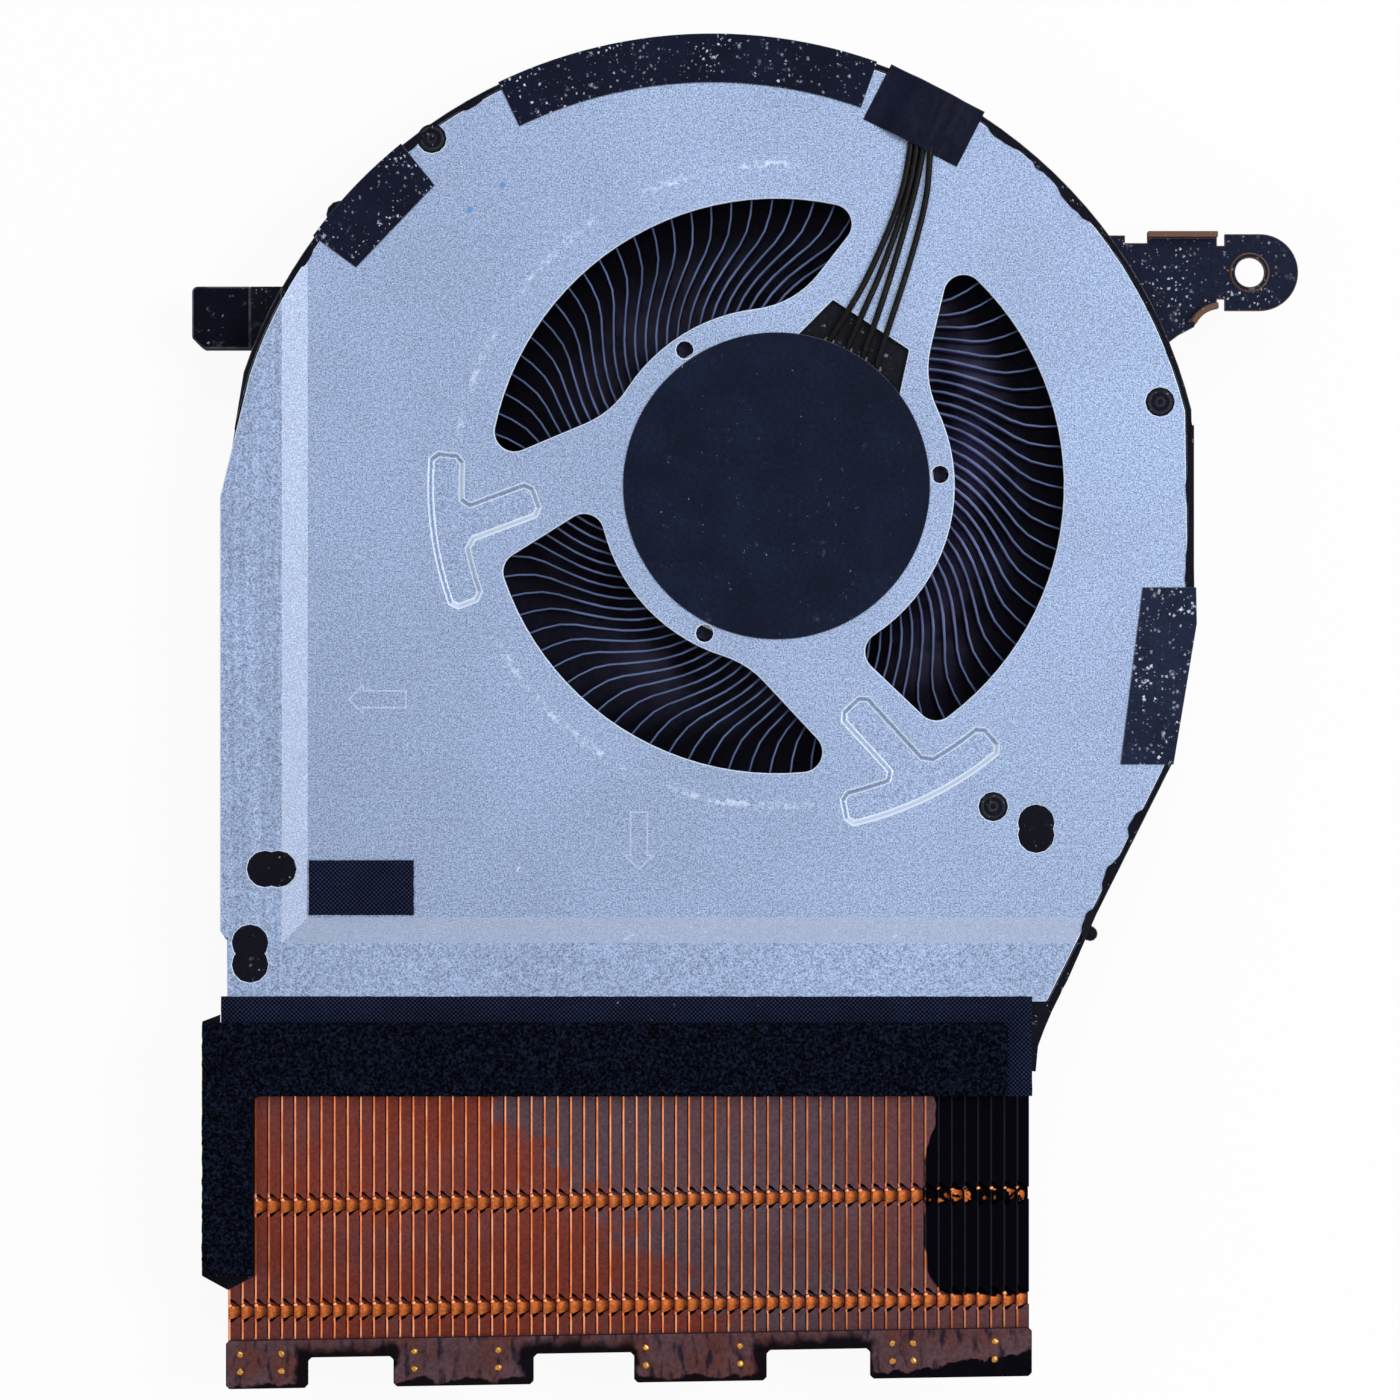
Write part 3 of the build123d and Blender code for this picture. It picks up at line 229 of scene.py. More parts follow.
def face_mark(shape, name):
    """A number on each face, which a finish reads."""
    return shape.faces.layers.float.get(name) or shape.faces.layers.float.new(name)


def soften(shape, width, low=40.0, high=180.0, steps=3):
    """Rounds the edges whose faces meet within a range of angles, and marks the rounding as edge."""
    mark = face_mark(shape, "edge")
    edges = [
        edge for edge in shape.edges
        if len(edge.link_faces) == 2 and low < degrees(edge.calc_face_angle()) <= high
    ]
    rounded = bmesh.ops.bevel(
        shape, geom=edges, offset=width, offset_type="OFFSET", segments=steps, profile=0.5,
        affect="EDGES", clamp_overlap=False, material=-1,
    )
    for face in rounded["faces"]:
        face[mark] = 1.0
    return shape


def only(parts, kind):
    """The vertices, edges or faces among parts of a shape."""
    return [part for part in parts if isinstance(part, kind)]


def chain(shape, points):
    """Open line through points, as its vertices and its edges."""
    verts = [shape.verts.new(point) for point in points]
    return verts, [shape.edges.new(pair) for pair in zip(verts, verts[1:])]


def turned(shape, points, centre, steps):
    """Turns a line of points full round an upright axis."""
    verts, edges = chain(shape, points)
    bmesh.ops.spin(
        shape, geom=verts + edges, cent=centre, axis=UP, angle=FULL_TURN, steps=steps, use_merge=True)
    bmesh.ops.remove_doubles(shape, verts=shape.verts, dist=MERGE)
    bmesh.ops.recalc_face_normals(shape, faces=shape.faces)


def thicken(shape, faces, thickness):
    """Gives an open sheet its thickness."""
    bmesh.ops.recalc_face_normals(shape, faces=faces)
    bmesh.ops.solidify(shape, geom=faces, thickness=thickness)


def new_object(name, data):
    """Puts a mesh, curve, lamp or camera into the scene."""
    made = bpy.data.objects.new(name, data)
    bpy.context.scene.collection.objects.link(made)
    return made


def new_mesh(shape, name):
    """Turns a shape into a mesh and lets the shape go."""
    mesh = bpy.data.meshes.new(name)
    shape.to_mesh(mesh)
    shape.free()
    return mesh


def show(shape, name, body, slot, material, *nodes, crease=14.0):
    """Makes a shape a piece that rides on a body, takes a finish and stands for nodes; slot is not used."""
    shape.transform(FAN)
    mesh = new_mesh(shape, name)
    mesh.shade_smooth()
    mesh.set_sharp_from_angle(angle=radians(crease))
    mesh.materials.append(material)
    piece = new_object(name, mesh)
    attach(piece, body)
    if nodes:
        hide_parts(*nodes)
    return piece


def dress(node, material):
    """Gives a node that keeps its shape a finish."""
    mesh = frame["nodes"][node].data
    mesh.materials.clear()
    mesh.materials.append(material)


class Value:
    """A node's output, with the sums and masks that finishes are made of."""

    def __init__(self, socket):
        self.socket = socket
        self.tree = socket.id_data

    def __add__(self, other):
        return calc("ADD", self, other)

    def __sub__(self, other):
        return calc("SUBTRACT", self, other)

    def __rsub__(self, other):
        return calc("SUBTRACT", other, self)

    def __mul__(self, other):
        return calc("MULTIPLY", self, other)

    def __truediv__(self, other):
        return calc("DIVIDE", self, other)

    def __rtruediv__(self, other):
        return calc("DIVIDE", other, self)

    def __pow__(self, other):
        return calc("POWER", self, other)

    def also(self, label):
        """Another output of the same node."""
        return Value(self.socket.node.outputs[label])

    def rise(self, low, high):
        """Smooth mask that rises from 0 at low to 1 at high."""
        return add(
            self.tree, "MapRange", {"Value": self, "From Min": low, "From Max": high},
            interpolation_type="SMOOTHSTEP")

    def between(self, low, high, soft):
        """Smooth mask of the values between low and high."""
        return self.rise(low - soft, low + soft) * self.rise(high + soft, high - soft)

    def spread(self, low, high):
        """The value from 0 to 1 spread between two others."""
        return add(self.tree, "MapRange", {"Value": self, "To Min": low, "To Max": high})

    def scaled(self, factors):
        """A place stretched along each axis."""
        return add(self.tree, "VectorMath", {0: self, 1: factors}, operation="MULTIPLY")

    def mottle(self, scale, detail, roughness=0.5):
        """Soft noise at a place."""
        return add(self.tree, "TexNoise", {
            "Vector": self, "Scale": scale, "Detail": detail, "Roughness": roughness})


def put(socket, value):
    """Fills a socket with a value or a link."""
    if isinstance(value, Value):
        socket.id_data.links.new(value.socket, socket)
    else:
        socket.default_value = value


def add(tree, kind, inputs, output=0, **fields):
    """Adds a node, sets its fields and inputs, and gives one of its outputs."""
    node = tree.nodes.new("ShaderNode" + kind)
    for field, value in fields.items():
        setattr(node, field, value)
    for key, value in inputs.items():
        put(node.inputs[key], value)
    return Value(node.outputs[output])


def calc(operation, first, second=0.0):
    """A sum of two values."""
    tree = (first if isinstance(first, Value) else second).tree
    return add(tree, "Math", {0: first, 1: second}, operation=operation)


def most(first, *others):
    """The greatest of some values."""
    for other in others:
        first = calc("MAXIMUM", first, other)
    return first


def level_between(mask, first, second):
    """One value where the mask is 0 and another where it is 1."""
    return add(mask.tree, "Mix", {0: mask, 2: first, 3: second})


def tint(mask, first, second):
    """One colour where the mask is 0 and another where it is 1."""
    first, second = (colour if isinstance(colour, Value) else (*colour, 1.0) for colour in (first, second))
    return add(mask.tree, "Mix", {0: mask, 6: first, 7: second}, 2, data_type="RGBA")


def tone(colour, factor):
    """A colour made darker or lighter by a factor."""
    colour = colour if isinstance(colour, Value) else (*colour,)
    return add(factor.tree, "VectorMath", {0: colour, 3: factor}, operation="SCALE")


def marked(tree, name):
    """The number that faces carry under a name."""
    return add(tree, "Attribute", {}, "Fac", attribute_name=name)


def group_ends(tree, inputs, outputs):
    """Names a group's inputs and outputs."""
    for label, value in inputs.items():
        socket = tree.interface.new_socket(label, in_out="INPUT", socket_type="NodeSocketFloat")
        socket.default_value = value
    for label, kind in outputs.items():
        tree.interface.new_socket(label, in_out="OUTPUT", socket_type="NodeSocket" + kind)
    start = {socket.name: Value(socket) for socket in tree.nodes.new("NodeGroupInput").outputs}
    return start, tree.nodes.new("NodeGroupOutput").inputs


def effect(tree, build, **values):
    """Places a shared effect in a material, built on its first use, with its own values."""
    shared = bpy.data.node_groups.get(build.__name__)
    if shared is None:
        shared = bpy.data.node_groups.new(build.__name__, "ShaderNodeTree")
        build(shared)
    node = tree.nodes.new("ShaderNodeGroup")
    node.node_tree = shared
    for label, value in values.items():
        put(node.inputs[label], value)
    return {socket.name: Value(socket) for socket in node.outputs}


def fan_place(tree):
    """Place in millimetres about the fan axis, with its distance and turn."""
    _, ends = group_ends(tree, {}, {
        "Place": "Vector", "Across": "Float", "Along": "Float",
        "Height": "Float", "Reach": "Float", "Turn": "Float",
    })
    place = add(tree, "VectorMath", {
        0: add(tree, "TexCoord", {}, "Object"), 1: (1 / MM, 1 / MM, 1 / MM),
        2: (-AXIS.x / MM, -AXIS.y / MM, 0),
    }, operation="MULTIPLY_ADD")
    across = add(tree, "SeparateXYZ", {0: place}, "X")
    along = across.also("Y")
    put(ends["Place"], place)
    put(ends["Across"], across)
    put(ends["Along"], along)
    put(ends["Height"], across.also("Z"))
    put(ends["Reach"], calc("SQRT", across * across + along * along))
    put(ends["Turn"], calc("ARCTAN2", along, across))


def speckle(tree):
    """Fine grain and soft clouds of a surface."""
    start, ends = group_ends(tree, {"Size": 0.2, "Cloud": 6.0}, {"Grain": "Float", "Clouds": "Float"})
    place = effect(tree, fan_place)["Place"]
    put(ends["Grain"], place.mottle(1.0 / start["Size"], 2.0, 0.6).rise(0.25, 0.75))
    put(ends["Clouds"], place.mottle(1.0 / start["Cloud"], 3.0, 0.55).rise(0.3, 0.7))


def dust(tree):
    """Pale ragged specks and smears that gather in patches."""
    start, ends = group_ends(tree, {"Size": 0.5, "Amount": 0.5, "Smears": 0.5}, {"Mask": "Float"})
    place = effect(tree, fan_place)["Place"]
    fine = 1.0 / start["Size"]
    shift = tone(place.mottle(fine * 2.5, 2.0).also("Color"), start["Size"])
    ragged = add(tree, "VectorMath", {0: place, 1: shift}, operation="ADD")
    cells = add(tree, "TexVoronoi", {"Vector": ragged, "Scale": fine}, "Distance")
    luck = add(tree, "SeparateColor", {0: cells.also("Color")})
    reach = luck ** 3.0 * start["Amount"]
    specks = (cells / (reach * 0.5)).rise(1.0, 0.55)
    patches = place.mottle(0.22, 3.0).rise(0.44, 0.62)
    smears = place.mottle(1.1, 6.0, 0.7).rise(0.6, 0.7) * start["Smears"]
    put(ends["Mask"], most(specks * (patches * 0.7 + 0.3), smears * patches))


def weave(tree):
    """Plain weave of threads along and across."""
    start, ends = group_ends(tree, {"Pitch": 0.4}, {"Thread": "Float"})
    spot = effect(tree, fan_place)
    turns = FULL_TURN / start["Pitch"]
    cross = calc("SINE", spot["Across"] * turns) * calc("SINE", spot["Along"] * turns)
    fuzz = spot["Place"].mottle(4.0, 2.0)
    put(ends["Thread"], (cross + fuzz * 0.7).rise(-0.7, 1.3))


def worn_edge(tree):
    """Marked faces in patches: rubbed edges, and on the plate also painted highlights."""
    start, ends = group_ends(tree, {"Amount": 0.5, "Size": 2.0}, {"Mask": "Float"})
    patches = effect(tree, fan_place)["Place"].mottle(1.0 / start["Size"], 4.0, 0.6)
    rubbed = (patches - (1.0 - start["Amount"])).rise(-0.25, 0.1)
    put(ends["Mask"], marked(tree, "edge") * rubbed)


def new_finish(name, **constants):
    """A material with its shader's plain values set, and its tree."""
    material = bpy.data.materials.new(name)
    material.use_nodes = True
    skin = material.node_tree.nodes["Principled BSDF"].inputs
    for label, value in constants.items():
        skin[label.replace("_", " ")].default_value = value
    return material, material.node_tree


def coat(material, colour, roughness, height, strength, depth, metallic=None):
    """Feeds a shader its colour, roughness and bump in millimetres, and its metal where that varies."""
    skin = material.node_tree.nodes["Principled BSDF"].inputs
    put(skin["Base Color"], colour)
    put(skin["Roughness"], roughness)
    if metallic is not None:
        put(skin["Metallic"], metallic)
    put(skin["Normal"], add(material.node_tree, "Bump", {
        "Height": height, "Strength": strength, "Distance": depth * MM}))
    return material


def ring_scuff(spot, reach, start, end):
    """Mask of a rubbed arc about the fan axis."""
    band = spot["Reach"].between(reach - 0.3, reach + 0.3, 0.15)
    turn = spot["Turn"].between(radians(start), radians(end), 0.06)
    broken = spot["Place"].mottle(1.6, 4.0).rise(0.42, 0.72)
    spells = spot["Place"].mottle(0.16, 2.0).rise(0.3, 0.5)
    return band * turn * (broken * spells)


def plate_metal(colours):
    """Pressed satin sheet with fine dark grain, cut edges and tee walls painted pale as bare metal and
    highlight, painted shade on the slopes, and rubbed arcs.
    """
    material, tree = new_finish("plate_metal", IOR=1.45)
    spot = effect(tree, fan_place)
    fine = effect(tree, speckle, Size=0.13, Cloud=14.0)
    coarse = effect(tree, speckle, Size=0.4, Cloud=30.0)
    level = fine["Grain"].spread(0.34, 1.24) + coarse["Grain"].spread(-0.08, 0.12)
    level = level * fine["Clouds"].spread(0.95, 1.05)
    streaks = spot["Place"].scaled((2.2, 0.05, 1.0)).mottle(1.0, 3.0).spread(0.7, 1.35)
    border = spot["Across"].rise(BORDER_X + 0.1, BORDER_X - 0.1)
    level = level * level_between(border, 1.0, streaks)
    # Painted shade on the slopes: darker, greyer and with even grain, toning down their lamp-lit brightness
    slope_shade = marked(tree, "slope") * 0.7
    level = level_between(slope_shade, level, 0.6)
    colour = tint(slope_shade * 0.45, tone(colours.plate, level), colours.slope)
    scuffs = effect(tree, dust, Size=2.6, Amount=0.16, Smears=0.5)["Mask"]
    scuffs = most(scuffs, *(ring_scuff(spot, *arc) for arc in RUBBED_ARCS))
    colour = tint(scuffs * 0.45, colour, colours.bare)
    # Cut edges and tee walls are painted pale in patches: bare cut metal, and a painted highlight where they
    # catch the light; the metal is turned down there so the pale shows
    edge = effect(tree, worn_edge, Amount=0.9, Size=3.0)["Mask"]
    colour = tint(edge * 0.8, colour, colours.bare)
    for place in INK_DOTS:
        near = add(tree, "VectorMath", {0: spot["Place"], 1: place}, "Value", operation="DISTANCE")
        colour = tint(near.rise(0.34, 0.2), colour, colours.ink)
    roughness = fine["Grain"].spread(0.52, 0.4)
    return coat(material, colour, roughness, fine["Grain"], 0.25, 0.02, edge.spread(0.75, 0.15))


def dark_skin(name, colour, pale, grain, dirt, roughness, gloss):
    """Black surface with grain, clouds and pale dust of a size, amount, smears and strength."""
    material, tree = new_finish(name, Specular_IOR_Level=gloss)
    size, amount, smears, strength = dirt
    fine = effect(tree, speckle, Size=grain, Cloud=5.0)
    body = tone(colour, fine["Grain"].spread(0.75, 1.25) * fine["Clouds"].spread(0.8, 1.2))
    edge = effect(tree, worn_edge, Amount=0.5, Size=1.5)["Mask"]
    body = tint(edge * 0.12, body, pale)
    marks = effect(tree, dust, Size=size, Amount=amount, Smears=smears)["Mask"]
    body = tint(marks * strength, body, pale)
    rough = fine["Grain"].spread(roughness - 0.06, roughness + 0.06)
    return coat(material, body, rough, fine["Grain"], 0.3, grain * 0.12)


def woven_cloth(colours):
    """Black plain-woven cloth tape."""
    material, tree = new_finish("woven_cloth", Specular_IOR_Level=0.04)
    threads = effect(tree, weave, Pitch=0.37)["Thread"]
    clouds = effect(tree, speckle, Size=0.12, Cloud=4.0)["Clouds"]
    body = tone(colours.cloth, (threads ** 2.4).spread(0.15, 4.6) * clouds.spread(0.85, 1.15))
    lint = effect(tree, dust, Size=1.6, Amount=0.25, Smears=0.0)["Mask"]
    body = tint(lint * 0.25, body, colours.dust)
    return coat(material, body, threads.spread(0.9, 0.68), threads, 0.7, 0.09)


def open_foam(colours):
    """Black open-cell foam with dark pores."""
    material, tree = new_finish("open_foam", Specular_IOR_Level=0.02)
    place = effect(tree, fan_place)["Place"]
    pores = add(tree, "TexVoronoi", {"Vector": place, "Scale": 4.2}).rise(0.1, 0.7)
    grain = effect(tree, speckle, Size=0.3, Cloud=3.0)["Grain"]
    body = tone(colours.foam, pores.spread(0.1, 2.4) * grain.spread(0.05, 2.2))
    body = tint(grain.rise(0.6, 0.95) * 0.6, body, colours.foam_tip)
    lint = effect(tree, dust, Size=1.1, Amount=0.2, Smears=0.0)["Mask"]
    body = tint(lint * 0.12, body, colours.dust)
    return coat(material, body, pores.spread(0.95, 0.85), pores + grain, 0.8, 0.12)


def black_paint(spot):
    """Mask of the brushed black paint on the fins' right end, with a round corner."""
    wander = spot["Place"].mottle(0.3, 2.0).spread(-0.8, 0.8) - spot["Along"].rise(-57.5, -53.0)
    aside = most(PAINT_LEFT_X + PAINT_CORNER - (spot["Across"] + wander), 0.0)
    below = most(PAINT_LOW_Y + PAINT_CORNER - (spot["Along"] + wander), 0.0)
    away = calc("SQRT", aside * aside + below * below)
    return away.rise(PAINT_CORNER + 0.06, PAINT_CORNER - 0.06)


def fin_copper(colours):
    """Tarnished copper fins with a painted highlight along each bend, painted shade inside, and black paint
    at the right end.
    """
    material, tree = new_finish("fin_copper", Specular_IOR_Level=0.01)
    spot = effect(tree, fan_place)
    place, across, along, height = (spot[label] for label in ("Place", "Across", "Along", "Height"))
    phase = calc("FRACT", (across - FIN_LEFT_X) / FIN_PITCH)
    # Each fin's rounded bend is painted bright: rubbed copper, and a painted highlight where the bend
    # catches the light
    band = phase.between(0.04, 0.18, 0.03) * height.rise(BORDER_Z - 0.4, BORDER_Z - 0.15)
    fine = effect(tree, speckle, Size=0.3, Cloud=9.0)
    grain = fine["Grain"]
    rub = place.mottle(0.5, 3.0)
    # A tide line of grey tarnish runs slantwise over the flanges
    tide = (across * 0.68 + along * 0.73 + rub.spread(-4.5, 4.5)).rise(-57.0, -53.4)
    grey = (fine["Clouds"].spread(-0.15, 0.35) + tide) * across.rise(2.0, 9.0).spread(1.0, 0.62)
    flange = tint(calc("MINIMUM", most(grey, 0.0), 1.0), colours.copper, colours.tarnish)
    flange = tone(flange, grain.spread(0.78, 1.18))
    flange = tone(flange, along.rise(-62.5, -66.0).spread(1.0, 0.84))
    nicks = effect(tree, dust, Size=1.2, Amount=0.16, Smears=0.0)["Mask"]
    flange = tint(nicks * 0.6, flange, colours.bend_pale)
    # The bends' painted highlight, dimmer towards the right
    bright = tint(rub.rise(0.35, 0.65), colours.bend, colours.bend_pale)
    bright = tone(bright, across.rise(-16.0, 12.0).spread(1.0, 0.55))
    colour = tint(band, flange, bright)
    # A thin line of painted shade in each seam, just left of the next fin's bend
    colour = tint(phase.rise(0.935, 0.965) * 0.85, colour, colours.residue)
    tongue = marked(tree, "tongue")
    hook = tone(tint(phase.rise(0.3, 0.85), colours.hook, colours.hook_dark), grain.spread(0.75, 1.2))
    # Painted highlight on the tops of the saddles and nubs
    hook = tint(height.rise(BORDER_Z - 0.12, BORDER_Z - 0.02), hook, colours.bend_pale)
    colour = tint(tongue, colour, hook)
    # The air channels get painted shade, dark and not metal, but the ends of the fins and their undersides
    # are copper
    foot = along - across * (FIN_STEP / FIN_PITCH)
    inside = foot.between(-72.6, -45.4, 0.35) * across.between(FIN_LEFT_X + 0.3, FIN_RIGHT_X - 0.3, 0.15)
    channel_shade = height.between(0.5, BORDER_Z - 0.92, 0.35) * inside
    colour = tint(channel_shade * 0.94, colour, colours.residue)
    missed = place.mottle(1.3, 2.0).rise(0.52, 0.58)
    paint = black_paint(spot) * (1.0 - tongue * missed)
    # Under the paint, the bends keep a faint painted highlight
    colour = tint(paint, colour, tint(band * 0.02, colours.paint, colours.dust))
    metallic = (1.0 - most(paint, channel_shade)) * 0.6
    return coat(material, colour, band.spread(0.46, 0.3), grain, 0.2, 0.03, metallic)


def strip_copper(colours):
    """Stained copper strip with dark streaks, dark stains in the notches and brushed paint."""
    material, tree = new_finish("strip_copper", Specular_IOR_Level=0.03)
    spot = effect(tree, fan_place)
    place, across = spot["Place"], spot["Across"]
    fine = effect(tree, speckle, Size=0.35, Cloud=3.5)
    streaks = place.scaled((1.6, 0.5, 1.0)).mottle(0.9, 4.0).rise(0.5, 0.68)
    colour = tone(tint(fine["Clouds"], colours.strip, colours.tarnish), fine["Grain"].spread(0.75, 1.2))
    colour = tint(streaks * 0.85, colour, colours.residue)
    edge = effect(tree, worn_edge, Amount=0.8, Size=4.0)["Mask"]
    colour = tint(edge * 0.9, colour, colours.residue)
    wander = place.mottle(0.6, 4.0)
    aside = across + wander.spread(-0.9, 0.9)
    notch = most(*(aside.between(left - 1.1, right + 0.3, 0.25) for left, right in NOTCHES))
    low = spot["Along"] - across * STRIP_SLANT + wander.spread(-1.0, 1.0)
    stain = most(notch * low.rise(-72.5, -73.6), low.rise(-76.0, -76.25))
    colour = tint(stain * 0.96, colour, colours.paint)
    paint = across.rise(8.2, 8.5) * (low + across * -0.14).rise(-77.45, -77.6)
    colour = tint(paint, colour, colours.paint)
    roughness = fine["Grain"].spread(0.42, 0.6)
    return coat(material, colour, roughness, fine["Grain"], 0.35, 0.05, streaks.spread(0.45, 0.1))


def plain_metal(name, colour, roughness):
    """Metal with fine grain and soft clouds."""
    material, tree = new_finish(name, Metallic=0.9)
    fine = effect(tree, speckle, Size=0.25, Cloud=6.0)
    body = tone(colour, fine["Grain"].spread(0.85, 1.12) * fine["Clouds"].spread(0.94, 1.05))
    rough = fine["Grain"].spread(roughness - 0.08, roughness + 0.08)
    return coat(material, body, rough, fine["Grain"], 0.2, 0.02)


def blade_plastic(colours):
    """Black moulded blades with a painted highlight along their top edges and a painted sheen near the hub.
    """
    material, tree = new_finish("blade_plastic", Specular_IOR_Level=0.08)
    spot = effect(tree, fan_place)
    reach = spot["Reach"]
    fine = effect(tree, speckle, Size=0.4, Cloud=5.0)
    body = tone(colours.blade, fine["Grain"].spread(0.7, 1.4))
    # Near the hub, dust with a painted sheen, painted lighter towards the right where the key lamp falls
    haze = fine["Clouds"] * reach.between(14.0, 20.0, 3.5) * reach.rise(14.6, 14.9)
    body = tint(haze, body, tone(colours.haze, spot["Across"].rise(8.0, 16.0).spread(1.0, 2.6)))
    # Painted highlight along the blades' top edges
    crest = spot["Height"].rise(IMPELLER_Z1 - 0.05, IMPELLER_Z1 - 0.015) * reach.rise(14.9, 15.6)
    body = tint(crest, body, tone(colours.blade_edge, fine["Clouds"].spread(0.7, 1.2)))
    return coat(material, body, fine["Grain"].spread(0.34, 0.46), fine["Grain"], 0.2, 0.03)


def coated_arm(colours):
    """Black coated sheet with pale specks, rubbed to bare metal along its edges."""
    material, tree = new_finish("coated_arm", Specular_IOR_Level=0.06)
    grain = effect(tree, speckle, Size=0.22, Cloud=4.0)["Grain"]
    specks = effect(tree, dust, Size=0.32, Amount=1.0, Smears=0.5)["Mask"]
    body = tint(specks * 0.7, tone(colours.arm, grain.spread(0.6, 1.4)), colours.dust)
    edge = effect(tree, worn_edge, Amount=0.72, Size=1.6)["Mask"]
    body = tint(edge * 0.75, body, colours.bare_brown)
    return coat(material, body, grain.spread(0.5, 0.68), grain, 0.45, 0.04)


def size_field(name, description, millimetres):
    """A small length that a user may change."""
    return FloatProperty(
        name=name, description=description, default=millimetres * MM, unit="LENGTH", precision=6)


def colour_field(name, description, default):
    """A colour that a user may change."""
    return FloatVectorProperty(
        name=name, description=description, default=default, subtype="COLOR", size=3, min=0.0, max=1.0)


def stage_field(name, description, default, **limits):
    """A camera or light setting that a user may change."""
    return FloatProperty(name=name, description=description, default=default, **limits)


class BlowerSizes(bpy.types.PropertyGroup):
    """Sizes of the detail that the scene adds."""

    cut_edge: size_field("Cut edge", "Rounding of the pressed plate's cut edges", 0.09)
    tee_edge: size_field("Tee edge", "Rounding of the tee presses", 0.15)
    part_edge: size_field("Part edge", "Rounding of moulded and coated edges", 0.07)
    film_edge: size_field("Film edge", "Rounding of tape and label edges", 0.04)
    blade: size_field("Blade", "Thickness of an impeller blade", 0.2)
    fin_bend: size_field("Fin bend", "Radius of the bend along each fin", 0.22)
    foam_cell: size_field("Foam cell", "Depth of the foam's rough surface", 0.11)
    flash: size_field("Flash", "Widest ragged flash along the rim", 0.62)


class BlowerColours(bpy.types.PropertyGroup):
    """Colours of the blower's finishes."""

    plate: colour_field("Plate", "Pressed motor plate", (0.3, 0.385, 0.575))
    # Bare metal of cut edges and scuffs, also the painted highlight on the plate's edges and tee walls
    bare: colour_field("Bare metal", "Cut edges and scuffs of the plate", (0.72, 0.82, 0.95))
    # Colour of the painted shade on the pressed slopes
    slope: colour_field("Slope", "Pressed slopes of the plate", (0.26, 0.275, 0.32))
    ink: colour_field("Ink", "Small blue dots on the plate", (0.1, 0.22, 0.45))
    frame: colour_field("Frame", "Moulded side frame", (0.0035, 0.0036, 0.009))
    rubber: colour_field("Rubber", "Bumper on the left tab", (0.004, 0.004, 0.01))
    tape: colour_field("Tape", "Rim tapes", (0.006, 0.0075, 0.021))
    tape_worn: colour_field("Worn tape", "Right rim tape", (0.012, 0.017, 0.042))
    label: colour_field("Label", "Round hub label", (0.0055, 0.0095, 0.025))
    arm: colour_field("Arm", "Coated mounting arm", (0.008, 0.011, 0.029))
    bare_brown: colour_field("Bare edge", "Rubbed edges of the arm", (0.2, 0.11, 0.07))
    cloth: colour_field("Cloth", "Woven patch and outlet tape", (0.0052, 0.0072, 0.019))
    foam: colour_field("Foam", "Foam gasket", (0.0015, 0.002, 0.0052))
    foam_tip: colour_field("Foam tips", "Paler cell walls of the foam", (0.013, 0.017, 0.032))
    film: colour_field("Film", "Film under the gasket", (0.004, 0.004, 0.008))
    dust: colour_field("Dust", "Dust and lint", (0.7, 0.76, 0.88))
    blade: colour_field("Blade", "Impeller", (0.022, 0.021, 0.05))
    # Dust with a painted sheen on the impeller
    haze: colour_field("Haze", "Dusty haze on the impeller", (0.17, 0.16, 0.3))
    blade_edge: colour_field("Blade edge", "Top edges of the blades", (0.1, 0.15, 0.29))
    copper: colour_field("Copper", "Fin flanges", (0.15, 0.032, 0.022))
    tarnish: colour_field("Tarnish", "Grey tarnish of the copper", (0.082, 0.048, 0.058))
    hook: colour_field("Hook", "Brighter parts of the zip rows", (0.72, 0.2, 0.05))
    hook_dark: colour_field("Dark hook", "Darker parts of the zip rows", (0.16, 0.036, 0.014))
    # Rubbed copper of the bends, which also carries their painted highlight
    bend: colour_field("Bend", "Rubbed bends of the fins", (0.8, 0.19, 0.05))
    bend_pale: colour_field("Pale bend", "Palest stretches of the bends", (0.95, 0.35, 0.16))
    strip: colour_field("Strip", "Strip on the fin ends", (0.09, 0.032, 0.028))
    # Dark residue on the strip, and the painted shade in the fin channels and seams
    residue: colour_field("Residue", "Dark residue on the strip", (0.008, 0.007, 0.02))
    paint: colour_field("Paint", "Black paint on the fins", (0.0012, 0.0012, 0.003))
    gold: colour_field("Gold", "Solder beads", (0.46, 0.21, 0.045))
    wire: colour_field("Wire", "Sleeves of the lead", (0.006, 0.005, 0.006))
    board: colour_field("Board", "Circuit board", (0.006, 0.007, 0.012))


class BlowerStage(bpy.types.PropertyGroup):
    """Camera and lights."""

    height: stage_field("Camera height", "Camera above the floor", 0.56, unit="LENGTH")
    lens: stage_field("Lens", "Focal length in millimetres", 164.9, unit="CAMERA")
    key: stage_field("Key light", "Lamp at the right", 2.4, unit="POWER")
    top: stage_field("Top light", "Lamp at the top", 1.1, unit="POWER")
    fill: stage_field("Fill light", "Lamp at the left", 0.5, unit="POWER")
    ambient: stage_field("Ambient", "Soft light from all round", 0.42, min=0.0)


